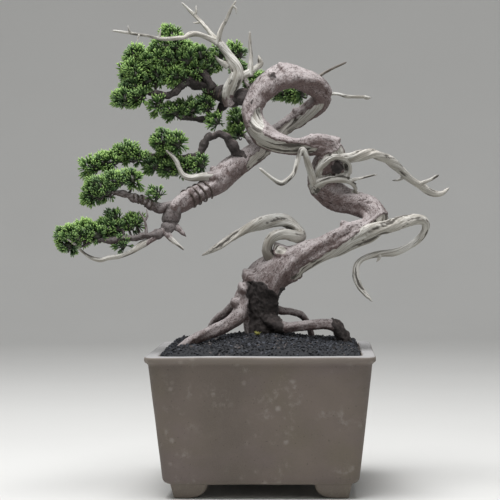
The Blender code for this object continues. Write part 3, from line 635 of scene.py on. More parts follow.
# %% Rows of the bare deadwood
SHELF = [
    (58, 4, 183, 4.5), (61, -7, 188, 5), (71, -12, 192, 5), (83, -12, 194, 5), (96, -9, 193, 5),
    (104, -5, 189, 4), (108, 0, 182, 3),
]
EYE_RIM = [
    (59, -5, 194, 3.5), (63, -12, 204, 3.5), (72, -18, 213, 4), (83, -20, 219, 4),
    (94, -18, 217, 4), (100, -14, 211, 3.5), (100, -10, 202, 3.5), (93, -7, 195, 3.5),
]
DEADWOOD = {
    "jin_crown": [
        (-36, -3, 282, 6.5), (-39, -9, 293, 7), (-30, -12, 308, 7.5), (-28, -12, 318, 6.5),
        (-32, -11, 327, 6.5), (-38, -10, 338, 5.5), (-45, -9, 347, 5), (-51, -8, 354, 3.5),
    ],
    "jin_crown_left": [
        (-47, -8, 350, 3), (-62, -14, 357, 3), (-72, -20, 360, 3), (-80, -26, 359, 3),
        (-86, -30, 355, 2.5), (-96, -34, 354, 2.5), (-108, -38, 353, 2.5), (-119, -42, 354, 2),
        (-128, -45, 356, 1.5), (-137, -47, 357, 1.5), (-148, -48, 359, 1.5), (-164, -52, 361, 1),
    ],
    "jin_crown_middle": [
        (-50, -7, 351, 3), (-64, -1, 370, 2.5), (-77, 4, 384, 2), (-91, 8, 398, 1),
    ],
    "jin_crown_right": [
        (-51, -10, 349, 3), (-46, -13, 365, 2.5), (-39, -15, 377, 2), (-34, -17, 388, 1.5),
        (-29, -19, 396, 1),
    ],
    "jin_crown_side": [
        (-30, -10, 309, 3.5), (-15, -8, 316, 3.5), (-6, -4, 322, 3), (-1, -2, 327, 3.5),
        (-2, -3, 332, 2.5),
    ],
    "jin_crown_spike": [
        (-13, -7, 313, 3), (-12, -5, 335, 2.5), (-13, -6, 347, 2), (-13, -7, 362, 1),
    ],
    "jin_arch_upper": [
        (57, 13, 303, 2.5), (66, 11, 313, 2), (80, 8, 321, 1.5), (96, 4, 328, 1),
    ],
    "jin_arch_right": [
        (68, 20, 293, 2.5), (86, 16, 293, 2), (98, 14, 290, 2), (121, 12, 289, 1.5),
    ],
    "jin_right": [
        (81, -7, 218, 5.5), (98, -8, 218, 5.5), (114, 4, 222, 5.5), (127, 18, 224, 6),
        (138, 32, 221, 5.5), (149, 46, 216, 5.5), (160, 58, 207, 5), (172, 70, 197, 4.5),
        (184, 82, 189, 4.5), (199, 97, 180, 4.5), (212, 108, 179, 3.5), (220, 115, 184, 2),
    ],
    "jin_right_fork": [
        (182, 80, 189, 2.5), (196, 76, 194, 2), (205, 72, 199, 1.5),
    ],
    "jin_centre": [
        (64, 0, 184, 5), (59, -10, 191, 4), (56, -15, 202, 4), (51, -20, 219, 3.5),
        (48, -23, 227, 3),
        (44, -26, 226, 3), (41, -29, 215, 2.5), (37, -33, 201, 2.5), (30, -36, 193, 2.5),
        (22, -39, 189, 2.5), (11, -42, 196, 2), (0, -45, 205, 1.5),
    ],
    "jin_low_right": [
        (102, -24, 129, 8), (125, -28, 136, 8.5), (143, -27, 139, 8), (160, -24, 145, 7),
        (175, -21, 148, 5.5), (184, -19, 146, 5), (186, -16, 138, 4.5), (180, -14, 127, 4),
        (169, -13, 118, 3.5), (153, -14, 111, 3.5), (134, -17, 109, 3.5), (119, -20, 105, 3.5),
        (109, -22, 98, 3.5), (106, -24, 87, 3.5), (109, -26, 75, 3), (116, -28, 65, 2.5),
        (124, -30, 56, 1),
    ],
    "jin_low_left": [
        (22, -11, 92, 6.5), (11, -12, 103, 6.5), (6, -14, 112, 6.5), (7, -16, 121, 6.5),
        (13, -18, 129, 6.5), (23, -18, 132, 6), (33, -17, 131, 6), (41, -13, 129, 6),
        (44, -7, 132, 6), (38, -3, 139, 6.5), (27, -3, 146, 7),
        (12, -7, 147, 7), (-4, -13, 144, 6.5), (-19, -19, 137, 5.5), (-34, -24, 128, 4.5),
        (-48, -29, 119, 3.5), (-66, -34, 109, 1),
    ],
    "jin_left": [
        (-39, -18, 197, 5.5), (-55, -32, 197, 5), (-67, -38, 197, 4.5), (-79, -43, 196, 4),
        (-87, -46, 199, 4), (-91, -48, 206, 3.5), (-95, -50, 215, 2.5), (-100, -52, 222, 2),
        (-105, -54, 226, 1),
    ],
    "jin_under": [
        (-106, -65, 138, 4), (-120, -72, 128, 3.5), (-133, -78, 120, 3.5), (-142, -83, 114, 3),
        (-154, -88, 109, 2.5), (-167, -92, 107, 2.5), (-176, -96, 105, 2.5), (-186, -99, 108, 2),
        (-194, -102, 114, 1.5), (-202, -104, 122, 1.5), (-210, -106, 128, 1),
    ],
}
SMALL_SPURS = {
    "spur_crown_left": [(-38, -11, 324, 3), (-46, -14, 329, 2.2), (-52, -16, 335, 1)],
    "spur_shelf": [(98, -7, 192, 2.4), (113, -9, 195, 1.5), (130, -12, 199, 0.9)],
    "spur_under": [
        (-106, -66, 136, 3.4), (-100, -70, 128, 2.6), (-93, -73, 122, 2), (-86, -76, 116, 1),
    ],
    "spur_right": [(168, 66, 200, 2), (160, 66, 195, 1.5), (153, 67, 194, 0.8)],
    "spur_low_tip": [
        (-127, -75, 131, 1.6), (-127, -75, 142, 1.2), (-129, -76, 150, 0.9),
        (-134, -77, 158, 0.6),
    ],
    "spur_low_fork": [(-128, -75, 148, 0.9), (-125, -76, 153, 0.8), (-126, -76, 160, 0.5)],
    "spur_fork": [(-95, -60, 141, 3), (-91, -63, 138, 2.6), (-86, -66, 133, 2.2)],
    "spur_tip_upper": [(-146, -48, 359, 1.2), (-147, -50, 362, 0.9), (-148, -51, 366, 0.5)],
    "spur_tip_lower": [(-136, -47, 357, 1.3), (-137, -48, 353, 0.9), (-138, -49, 349, 0.5)],
    "spur_tip_inner": [(-114, -40, 354, 1.6), (-113, -41, 359, 1.0), (-112, -41, 363, 0.5)],
    "spur_middle_upper": [(-77, 4, 384, 1.4), (-75, 3, 389, 0.9), (-75, 3, 394, 0.5)],
    "spur_middle_lower": [(-70, 2, 377, 1.6), (-74, 1, 375, 1.0), (-78, 0, 375, 0.5)],
    "spur_crown_right": [(-31, -18, 392, 1.2), (-28, -19, 388, 0.9), (-28, -19, 383, 0.5)],
    "spur_arch": [(118, 12, 289, 1.5), (121, 12, 288, 1.6), (124, 12, 288, 0.9)],
    "spur_low_curl": [(134, -17, 109, 2.2), (133, -19, 104, 1.6), (131, -20, 101, 0.8)],
}
print("limbs:", 1 + len(ROOTS) + len(BRANCHES) + len(DEADWOOD) + len(SMALL_SPURS))


# %% [markdown]
# ## Bark, bare wood and the line between them
# Juniper bark is thin and stringy. It splits along the limb and lifts in narrow flakes. Bare wood
# has lost it and shows its fibres, with long cracks. Both reliefs are made by one Geometry Nodes
# tree that reads `grain` and `bare` (0 where bark grows, 1 on bare wood) and moves each point along
# its normal. How deep the surface lies is stored as `hollow`, so that painted shade darkens the
# cracks, and how far it faces the sky as `up`, so that tops are painted lighter and undersides
# painted darker, as light from above would make them.

# %% Relief tree
BARK_RELIEF = 0.0013    # metres on a thick limb
FIBRE_RELIEF = 0.0007
BARE_SINK = 0.0010      # how far bare wood lies below the bark round it


def relief_tree():
    recipe = Recipe("relief", {
        "Bark Relief": ("Float", BARK_RELIEF), "Fibre Relief": ("Float", FIBRE_RELIEF),
        "Sink": ("Float", BARE_SINK), "Finish": ("Material", None)})
    given = recipe.given
    grain = recipe.field("grain", "FLOAT_VECTOR")
    bare, dark = recipe.field("bare"), recipe.field("dark")
    drift = recipe.noise(grain, 90.0, 2.0, output=1)
    wavy = recipe.vector("MULTIPLY_ADD", drift, (0.007, 0.004, 0.004), grain)
    # Bark: soft rolls, narrow flakes, long splits, and a coarse crust on the `dark` strokes.
    rolls = recipe.streaks(wavy, 70.0, 90.0, 2.0)
    flakes = recipe.streaks(wavy, 400.0, 560.0, 3.0, 0.65)
    splits = recipe.step(recipe.streaks(wavy, 110.0, 260.0, 2.0), 0.30, 0.40)
    crust = recipe.cells(wavy, 210.0) * (dark * 2.2)
    bark = rolls * 1.3 + flakes * 1.3 + (splits - 1.0) * 0.55 - 1.30 + crust
    # Bare wood: fine fibres and long cracks.
    fibre = recipe.streaks(wavy, 16.0, 380.0, 4.0, 0.62)
    crack = recipe.step(recipe.streaks(wavy, 22.0, 170.0, 2.0), 0.36, 0.47)
    wood = fibre * 2.2 - 1.1 + (crack - 1.0) * 1.2
    height = (bark * given["Bark Relief"] * (1.0 - bare)
              + (wood * given["Fibre Relief"] - given["Sink"]) * bare)
    # How deep each point lies, which the material darkens as painted shade.
    hollow = (0.0 - bark) * (1.0 - bare) + (0.0 - wood) * bare
    normal = recipe.add("GeometryNodeInputNormal")
    # How far a point faces up, which the material uses for painted top light and painted underside
    # shade.
    facing = recipe.vector("DOT_PRODUCT", normal, (0.0, 0.0, 1.0), output=1)
    stored = recipe.store(given["Geometry"], "hollow", hollow)
    stored = recipe.store(stored, "up", facing)
    offset = recipe.add("ShaderNodeVectorMath", {0: normal, "Scale": height}, operation="SCALE")
    return recipe.close(recipe.add("GeometryNodeSetPosition",
                                   {"Geometry": stored, "Offset": offset}))


RELIEF = relief_tree()
print("relief tree:", len(RELIEF.nodes), "nodes")

# %% [markdown]
# ## One material for bark and bare wood
# Where bark is peeled the change is a ragged line, not a seam between two pieces. So both finishes
# are one material, and `bare` picks between them. Bark is brown below and silky where its skin has
# weathered, and the skin is painted paler where it faces up, as painted top light. It has dark pits
# and splits darkened with painted shade, and turns almost black where `dark` is set, which is
# painted shade in the trunk's hollows and a darker bark on some limbs and twigs. Bare wood is
# silver, with painted shade on its undersides, long grooves, stains, and cracks painted black as
# shade.

# %% Wood colours
UNDER_BARK = (0.070, 0.045, 0.041), (0.150, 0.108, 0.103)
# Pale skin colour, which also serves as painted top light on faces that turn up.
SILKY_SKIN_AND_TOP_LIGHT = (0.44, 0.400, 0.400)
BARK_PIT = (0.036, 0.022, 0.020)
# Painted shade in the deep splits of the bark.
PAINTED_SPLIT_SHADE = (0.034, 0.018, 0.016)
# Near black: painted shade in the trunk's hollows and dark bark on some limbs; the flake colour is
# painted top light.
BLACK_BARK_AND_SHADE, TOP_LIT_CRUST_FLAKE = (0.007, 0.005, 0.0045), (0.22, 0.17, 0.16)
SILVER_WOOD = (0.53, 0.56, 0.56), (0.68, 0.62, 0.55)
# Painted shade on the undersides of bare wood.
PAINTED_UNDERSIDE_SHADE = (0.235, 0.225, 0.180)
FIBRE_GROOVE = (0.215, 0.20, 0.17)
WOOD_STAIN = (0.22, 0.20, 0.165)
# Painted shade in the deep cracks of bare wood.
PAINTED_CRACK_SHADE = (0.045, 0.038, 0.030)
SMOKED_WOOD = (0.095, 0.078, 0.062)


# %% Wood material
def bark_color(finish, grain, place, hollow, up, dark, strand):
    """Brown under-bark with a pale silky skin that painted top light spreads over the tops, dark
    pits, splits in painted shade, and near-black bark that is painted shade in hollows.
    """
    patch = finish.noise(place, 34.0, 3.0)
    cloud = finish.noise(place, 95.0, 3.0)
    # Painted top light: faces that turn up get more pale skin, and deep parts get less, as painted
    # shade.
    weathered_and_lit_from_above = strand * 0.75 + cloud * 0.55 + patch * 0.25 + up * 0.22 - hollow * 0.15
    skin = finish.step(weathered_and_lit_from_above, 0.62, 1.06)
    silky = finish.mix(skin * 0.88, finish.mix(patch, *UNDER_BARK), SILKY_SKIN_AND_TOP_LIGHT)
    pits = finish.step(finish.streaks(grain, 520.0, 640.0, 2.0), 0.57, 0.66)
    pitted = finish.mix(pits * 0.78, silky, BARK_PIT)
    # Painted shade: the deep parts of the relief are darkened.
    shaded_split = finish.mix(finish.step(hollow, 0.25, 0.85) * 0.80, pitted, PAINTED_SPLIT_SHADE)
    flake = finish.step(finish.streaks(grain, 200.0, 330.0, 3.0), 0.52, 0.62)
    # Painted shade: near black where `dark` is set, with flakes painted lighter where they face up.
    black = finish.mix(flake * up * 0.45 + skin * 0.10, BLACK_BARK_AND_SHADE, TOP_LIT_CRUST_FLAKE)
    return finish.mix(dark * 0.96, shaded_split, black)


def bare_color(finish, grain, place, hollow, up, dark, fibre):
    """Silver fibres, a warmer tone in places, painted shade on the undersides, stains, and cracks
    painted black as shade.
    """
    silver = finish.mix(finish.noise(place, 22.0, 2.0), *SILVER_WOOD)
    # Painted shade: faces that turn down are greyer and darker.
    weathered_and_lit_from_above = finish.mix(finish.step(0.35 - up, 0.0, 1.2) * 0.60, silver, PAINTED_UNDERSIDE_SHADE)
    lined = finish.mix(finish.step(fibre, 0.32, 0.60), FIBRE_GROOVE, weathered_and_lit_from_above)
    stain = finish.step(finish.streaks(grain, 34.0, 120.0, 3.0), 0.50, 0.66)
    worn = finish.mix(stain * 0.55, lined, WOOD_STAIN)
    # Painted shade: the deep parts of the relief are darkened almost to black.
    shaded_cracks = finish.mix(finish.step(hollow, 0.10, 1.0) * 0.92, worn, PAINTED_CRACK_SHADE)
    return finish.mix(dark * 0.80, shaded_cracks, SMOKED_WOOD)


def wood_finish():
    """Mauve brown bark and silver bare wood, told apart by the attribute `bare`."""
    finish = Finish("bark_and_bare_wood")
    grain, place = finish.attribute("grain", "Vector"), finish.place()
    hollow, up = finish.attribute("hollow"), finish.attribute("up")
    dark = finish.step(finish.attribute("dark"), 0.05, 0.75)
    ragged = finish.streaks(grain, 150.0, 420.0, 3.0)
    bare = finish.step(finish.attribute("bare") + (ragged - 0.5) * 0.5, 0.40, 0.60)
    strand = finish.streaks(grain, 330.0, 640.0, 5.0, 0.72)
    fibre = finish.streaks(grain, 28.0, 1300.0, 4.0, 0.65)
    bark = bark_color(finish, grain, place, hollow, up, dark, strand)
    wood = bare_color(finish, grain, place, hollow, up, dark, fibre)
    height = strand * (1.0 - bare) + fibre * 0.7 * bare
    return finish.set(Base_Color=finish.mix(bare, bark, wood), Roughness=0.86 - strand * 0.12,
                      Normal=finish.bump(height, 0.9, 0.0006))


WOOD = wood_finish()
print("wood material:", len(WOOD.node_tree.nodes), "nodes")


# %% [markdown]
# ## The trunk, its roots and the long back limb are one body of wood
# On the real tree there is no seam where a root leaves the trunk. So these limbs are laid through
# each other and remeshed in small voxels, which melts them into one skin. The `grain` is then
# worked out again for every point of the skin from whichever limb is nearest.

# %% Strips of the trunk that have no bark
SHARI = [  # x, y, z and half width in millimetres
    [(38, -24, 81, 4), (52, -28, 90, 7), (66, -30, 96, 9), (98, -34, 110, 13),
     (124, -33, 122, 17), (150, -28, 138, 20)],
    [(96, -12, 116, 8), (124, -8, 124, 13), (146, -14, 140, 14)],
    [(60, -20, 226, 4), (40, -22, 226, 7), (22, -25, 228, 8), (4, -27, 233, 9), (-4, -25, 243, 9),
     (-5, -23, 256, 8), (-1, -19, 270, 6), (3, -14, 281, 2)],
    [(66, 20, 279, 5), (45, 25, 262, 8), (30, 23, 252, 8), (15, 17, 240, 8), (1, 8, 227, 7),
     (-14, -6, 212, 5)],
    [(92, -12, 226, 5), (98, -10, 216, 7), (100, -8, 204, 7), (94, -6, 192, 6)],
    [(104, -24, 120, 10), (118, -12, 118, 12), (132, -14, 130, 14)],
    [(13, -24, 119, 5), (22, -27, 115, 6)],
    [(34, -17, 84, 3), (58, -20, 92, 8), (84, -22, 102, 10), (108, -22, 112, 12)],
]
ROUGH_SHADED_HOLLOWS = [  # rough bark that is painted near black as shade in the hollows, in the same form
    [(-14, -18, 72, 7), (-2, -20, 62, 16), (2, -20, 46, 19), (4, -18, 24, 20)],
    [(20, -10, 76, 7), (16, -14, 66, 9)],
    [(82, -16, 200, 6), (86, -18, 208, 7)],
    [(86, -14, 30, 8), (92, -12, 18, 9), (96, -10, 4, 9)],
    [(10, -12, 309, 1.5), (18, -12, 316, 3), (28, -12, 321, 3), (36, -12, 320, 2)],
]
KNOBS = [  # burls and knuckles that swell out of the trunk: x, y, z, radius
    (26, 0, 319, 10), (38, 2, 318, 7), (13, -3, 311, 9), (-15, -11, 82, 11), (-22, -20, 70, 8),
    (-31, -24, 54, 7.5), (-50, -25, 197, 13), (-43, -20, 205, 10), (-56, -32, 195, 9),
    (82, -6, 236, 10), (89, -3, 206, 13), (84, -2, 222, 12), (22, -16, 110, 12), (-11, 2, 292, 8),
    (58, -14, 241, 6), (-84, -50, 172, 9), (96, -20, 138, 9), (64, 12, 192, 10), (40, 32, 272, 8),
    (-27, -8, 216, 9),
]
RAGGEDNESS = 0.0028    # metres that the edge of a strip wanders
EDGE_BLUR = 0.0016
CHUNK = 6000           # points that are measured at once


def stroke_share(points, strokes):
    """1 on the strokes and 0 off them for each point, and its distance from their edge."""
    edge = np.full(len(points), np.inf)
    for rows in strokes:
        path, _ = smooth_path(rows, 0.003)
        for start in range(0, len(points), CHUNK):
            part = points[start:start + CHUNK]
            reach = np.linalg.norm(part[:, None, :] - path[None, :, :3], axis=2) - path[None, :, 3]
            edge[start:start + CHUNK] = np.minimum(edge[start:start + CHUNK], reach.min(axis=1))
    edge += np.array([noise.noise(Vector(point) * 170.0) for point in points]) * RAGGEDNESS
    return np.clip(0.5 - edge / EDGE_BLUR, 0.0, 1.0), edge


def grain_on(points, limbs, twist):
    """For each point, where it is along and around the limb whose surface is nearest."""
    best = np.full(len(points), np.inf)
    grain = np.zeros((len(points), 3))
    for rows in limbs:
        path, marks = smooth_path(rows, 0.0015)
        heading, across, upward = turning_frames(path[:, :3])
        for start in range(0, len(points), CHUNK):
            part = points[start:start + CHUNK]
            beyond = np.linalg.norm(part[:, None, :] - path[None, :, :3], axis=2) - path[None, :, 3]
            index = beyond.argmin(axis=1)
            least = beyond.min(axis=1)
            gap = part - path[index, :3]
            along = marks[index] + (gap * heading[index]).sum(axis=1)
            turn = np.arctan2((gap * upward[index]).sum(axis=1), (gap * across[index]).sum(axis=1))
            turn = turn + along * twist
            radius = path[index, 3]
            value = np.column_stack([along, radius * np.cos(turn), radius * np.sin(turn)])
            nearer = least < best[start:start + CHUNK]
            best[start:start + CHUNK][nearer] = least[nearer]
            grain[start:start + CHUNK][nearer] = value[nearer]
    return grain


# %% Melt the main limbs together
TRUNK_VOXEL = 0.00125
TRUNK_SPACING = 0.0014
TRUNK_TWIST = 16.0
THICK_WOOD = {"sides": 72, "flute": 0.20, "twist": TRUNK_TWIST, "lumps": 0.07}
ROOT_WOOD = {"sides": 32, "flute": 0.16, "twist": TRUNK_TWIST, "lumps": 0.07}
KNOB_WOOD = {"sides": 24, "flute": 0.25, "twist": 18.0, "lumps": 0.1}
LIP_HEIGHT, LIP_PLACE, LIP_WIDTH = 0.0010, 0.0022, 0.0018   # live bark swells beside bare wood


def knob_rows(x, y, z, radius):
    """A short fat limb that lies aslant through a knob."""
    shift, rise, thin = 0.5 * radius, 0.3 * radius, 0.55 * radius
    return [(x - shift, y, z - rise, thin), (x, y, z, radius), (x + shift, y, z + rise, thin)]


def make_trunk():
    main = {"trunk": TRUNK, "shelf": SHELF, "eye_rim": EYE_RIM, **ROOTS,
            "branch_low_left": BRANCHES["branch_low_left"]}
    limbs = Bundle()
    for index, (name, rows) in enumerate(main.items()):
        shape = THICK_WOOD if name in ("trunk", "branch_low_left") else ROOT_WOOD
        limbs.add(*limb_surface(rows, TRUNK_SPACING, seed=20 + index, **shape))
    for index, knob in enumerate(KNOBS):
        limbs.add(*limb_surface(knob_rows(*knob), TRUNK_SPACING, seed=60 + index, **KNOB_WOOD))
    wood = mesh_object("trunk_wood", np.vstack(limbs.points), limbs.faces)
    melt(wood, TRUNK_VOXEL)
    smooth = wood.modifiers.new("smooth", "SMOOTH")
    smooth.factor = 0.5
    smooth.iterations = 4
    baked(wood)
    points, normals = (np.empty(len(wood.data.vertices) * 3) for _ in range(2))
    wood.data.vertices.foreach_get("co", points)
    wood.data.vertices.foreach_get("normal", normals)
    points, normals = points.reshape(-1, 3), normals.reshape(-1, 3)
    ridges = [[(x, y, z, radius + 2.0) for x, y, z, radius in rows] for rows in (SHELF, EYE_RIM)]
    bare, edge = stroke_share(points, SHARI + ridges)
    dark, _ = stroke_share(points, ROUGH_SHADED_HOLLOWS)
    lip = LIP_HEIGHT * np.exp(-((edge - LIP_PLACE) / LIP_WIDTH) ** 2)
    wood.data.vertices.foreach_set("co", (points + normals * lip[:, None]).ravel())
    store_attributes(wood.data, {"grain": grain_on(points, list(main.values()), TRUNK_TWIST),
                                 "bare": bare, "dark": dark * (1 - bare)})
    with_nodes(wood, RELIEF, Bark_Relief=BARK_RELIEF, Fibre_Relief=FIBRE_RELIEF, Sink=BARE_SINK,
               Finish=WOOD)
    baked(wood).data.shade_smooth()
    keep(wood, "bark", "trunk", "branch_low_left", *ROOTS)


make_trunk()


# %% [markdown]
# ## Branches and bare jins
# The thinner limbs are plain ringed tubes. Each starts inside its parent with a flared base, as a
# real one does where its wood runs on into the parent's. A jin tapers to a torn, pointed tip.

# %% Shape a limb's rows
FLARE, FLARE_REACH = 0.35, 9.0   # share of the radius, millimetres


def flared(rows):
    """The rows with the radius of the first few swollen towards the base."""
    start = Vector(rows[0][:3])
    result = []
    for x, y, z, radius in rows:
        far = (Vector((x, y, z)) - start).length
        result.append((x, y, z, radius * (1 + FLARE * math.exp(-(far / FLARE_REACH) ** 2))))
    return result


def crooked(rows, seed):
    """The rows with knuckles between them, as a limb has that was bent and cut back many times."""
    draw = np.random.default_rng(seed)
    result = [rows[0]]
    for first, second in zip(rows, rows[1:]):
        first, second = np.array(first), np.array(second)
        length = np.linalg.norm(second[:3] - first[:3])
        middle = (first + second) / 2
        middle[:3] += draw.uniform(-1, 1, 3) * min(0.11 * length, 0.45 * middle[3])
        middle[3] *= draw.uniform(0.72, 0.92)
        end = second.copy()
        end[3] *= draw.uniform(0.98, 1.22)
        result += [tuple(middle), tuple(end)]
    return result


# %% One thin limb
FULL_RELIEF_RADIUS = 6.0         # millimetres; a thinner limb has less relief
BARK_LIMB = {"flute": 0.24, "twist": 20.0, "lumps": 0.26, "blunt": 1.0}
BARE_LIMB = {"flute": 0.20, "twist": 34.0, "lumps": 0.12, "blunt": 2.2}


def make_limb(name, rows, bare, seed, slot, nodes, dark=0.0, dark_reach=None, bark_reach=0.0):
    """One limb; `dark` is its darkness, kept to the first stretch if dark_reach is given.

    Bark still covers the first `bark_reach` millimetres of a bare one."""
    rows = rows if bare else crooked(rows, seed)
    radius = max(row[3] for row in rows)
    sides = 28 if radius > 5 else 20 if radius > 3 else 14
    points, faces, grain = limb_surface(
        flared(rows), 0.0009 if radius > 3 else 0.0011, sides, seed=seed,
        **(BARE_LIMB if bare else BARK_LIMB))
    along = grain[:, 0] / MM
    fade = np.ones(len(points))
    if dark_reach is not None:
        fade = np.clip(1.5 - grain[:, 0] / (dark_reach * MM), 0.0, 1.0)
    peeled = np.ones(len(points))
    if bark_reach:
        ragged = 3.0 * np.sin(grain[:, 1] * 2400.0) + 2.0 * np.sin(grain[:, 2] * 3900.0 + 1.0)
        peeled = np.clip((along - bark_reach - ragged) / 2.0, 0.0, 1.0)
    piece = mesh_object(name, points, faces,
                        {"grain": grain, "bare": peeled * float(bare), "dark": dark * fade})
    size = min(1.0, radius / FULL_RELIEF_RADIUS)
    with_nodes(piece, RELIEF, Bark_Relief=BARK_RELIEF * size, Fibre_Relief=FIBRE_RELIEF * size,
               Sink=0.0, Finish=WOOD)
    baked(piece).data.shade_smooth()
    keep(piece, slot, *nodes)


# %% All the thin limbs
THIN_BARK_DARKNESS = {
    "branch_crown": 0.66, "branch_crown_under": 0.80, "branch_crown_top": 0.80,
    "branch_middle": 0.70, "branch_low_tip": 0.48, "branch_left": 0.36}
USUAL_BARK_DARKNESS = 0.22
JIN_DARKNESS = {  # darkness, and the millimetres from the base that have it
    "jin_low_left": (0.75, 34.0), "jin_arch_upper": (0.7, 200.0)}
JIN_BARK = {  # millimetres from the base that still have their bark
    "jin_under": 27.0, "jin_left": 13.0, "jin_crown": 9.0, "spur_under": 12.0,
    "spur_low_tip": 200.0, "spur_low_fork": 200.0, "spur_fork": 200.0}
BARKED_SPUR_DARKNESS = 0.25

for index, (name, rows) in enumerate(BRANCHES.items()):
    if name != "branch_low_left":
        make_limb(name + "_wood", rows, False, 100 + index, "bark", [name],
                  THIN_BARK_DARKNESS.get(name, USUAL_BARK_DARKNESS))
for index, (name, rows) in enumerate(DEADWOOD.items()):
    make_limb(name + "_wood", rows, True, 200 + index, "deadwood", [name],
              *JIN_DARKNESS.get(name, ()), bark_reach=JIN_BARK.get(name, 0.0))
for index, (name, rows) in enumerate(SMALL_SPURS.items()):
    make_limb(name, rows, True, 260 + index, "deadwood", [],
              BARKED_SPUR_DARKNESS if name in JIN_BARK else 0.0,
              bark_reach=JIN_BARK.get(name, 0.0))


# %% [markdown]
# ## Foliage pads
# A juniper's foliage is made of short, scaly, cord-like shoots in small fans. A grower wires and
# pinches them into flat clouds, called pads. One fan of six shoots is modelled once, with a few
# dozen faces. A Geometry Nodes tree scatters it over a lumpy core for each pad, pointing outwards
# and up, with neighbours leaning the same way so that they gather into tufts.

# %% One fan of shoots
SHOOTS = [  # start along the middle shoot, lean and turn in degrees, length in millimetres
    (0.00, 0, 0, 11.0), (0.05, 30, 10, 9.0), (0.12, 32, 175, 8.4), (0.26, 27, 75, 7.2),
    (0.34, 28, 255, 6.6), (0.50, 22, 340, 5.0),
]
SHOOT_RADIUS = 0.88 * MM
SHOOT_RINGS = (0.0, 0.8), (0.78, 1.0)   # share of the length, share of the radius
SHOOT_CORNERS = 3
SHOOT_RISE = 0.10                       # shoots bend upwards by this share of their length


def make_fan():
    """A fan of pointed three-sided shoots that grows along +z, with `tip` from 0 to 1 on each."""
    vertices, faces, tips = [], [], []
    for start, lean, turn, length in SHOOTS:
        lean, turn = math.radians(lean), math.radians(turn)
        ahead = Vector((math.sin(lean) * math.cos(turn), math.sin(lean) * math.sin(turn),
                        math.cos(lean)))
        root = Vector((0.0, 0.0, start * SHOOTS[0][3] * MM))
        side = ahead.cross(Vector((0.3, 0.9, 0.1))).normalized()
        other = ahead.cross(side)
        base = len(vertices)
        for share, thickness in SHOOT_RINGS:
            bend = Vector((0.0, 0.0, SHOOT_RISE * length * MM * share * share))
            for corner in range(SHOOT_CORNERS):
                angle = 2 * math.pi * corner / SHOOT_CORNERS + share
                round_it = (side * math.cos(angle) + other * math.sin(angle))
                round_it = round_it * SHOOT_RADIUS * thickness
                vertices.append(root + ahead * (length * MM * share) + bend + round_it)
                tips.append(start * 0.5 + share * 0.5)
        vertices.append(root + ahead * length * MM + Vector((0.0, 0.0, SHOOT_RISE * length * MM)))
        tips.append(1.0)
        for corner in range(SHOOT_CORNERS):
            following = (corner + 1) % SHOOT_CORNERS
            faces.append((base + corner, base + following, base + 3 + following, base + 3 + corner))
            faces.append((base + 3 + corner, base + 3 + following, base + 6))
        faces.append((base + 2, base + 1, base))
    return mesh_object("fan_of_shoots", vertices, faces, {"tip": tips})


# %% Scatter the fans over a pad's core
def pad_tree():
    recipe = Recipe("pad_of_foliage", {
        "Fan": ("Object", None), "Spacing": ("Float", 0.0029), "Reach": ("Float", 1.0),
        "Seed": ("Int", 1), "Lean": ("Vector", (-0.55, -0.10, 0.55)), "Finish": ("Material", None)})
    given = recipe.given
    spread = recipe.spread(Distance_Min=given["Spacing"])
    place = recipe.add("GeometryNodeInputPosition")
    swirl = recipe.noise(place, 75.0, 1.0, output=1)
    tufted = recipe.vector("MULTIPLY_ADD", swirl, (2.6, 2.6, 2.6), (-1.3, -1.3, -1.3))
    loose = recipe.random((-0.45, -0.45, -0.35), (0.45, 0.45, 0.45), given["Seed"])
    aim = Value(recipe, spread.socket.node.outputs["Normal"])
    for push in (tufted, loose, given["Lean"]):
        aim = recipe.vector("ADD", aim, push)
    turned = recipe.add("FunctionNodeAlignRotationToVector", {"Vector": aim}, axis="Z")
    spin = recipe.add("FunctionNodeAxisAngleToRotation",
                      {"Axis": (0, 0, 1), "Angle": recipe.random(0.0, 2 * math.pi, 5)})
    spun = recipe.add("FunctionNodeRotateRotation", {"Rotation": turned, "Rotate By": spin},
                      rotation_space="LOCAL")
    tuft = recipe.noise(place, 60.0, 1.0)
    size = recipe.random(0.70, 1.15, 9) * (0.55 + tuft * 0.9) * given["Reach"]
    fans = recipe.add("GeometryNodeInstanceOnPoints", {
        "Points": spread, "Instance": recipe.shape_of(given["Fan"]), "Rotation": spun,
        "Scale": size})
    tone = recipe.random(0.0, 1.0, 3) * 0.45 + tuft * 0.9 - 0.2
    toned = recipe.store(fans, "tone", tone, "INSTANCE")
    return recipe.close(recipe.join(given["Geometry"], toned))


PAD = pad_tree()
FAN = make_fan()
print("one fan:", len(FAN.data.polygons), "faces")

# %% [markdown]
# ## The green of the shoots
# New juniper tips are a bright yellow green and old leaves a deep blue green, so colour follows
# `tip`, which runs along each shoot, and `tone`, which is a fan's own. A picture of leaves would
# repeat and blur, but these rules stay sharp. Tiny cells stand for the overlapping scales.

# %% Foliage material
OLD_GREEN = (0.052, 0.104, 0.050), (0.105, 0.220, 0.062)
NEW_GREEN = (0.205, 0.340, 0.130), (0.390, 0.590, 0.150)
WOODY_BASE = (0.020, 0.020, 0.010)
BETWEEN_SCALES = (0.012, 0.045, 0.014)


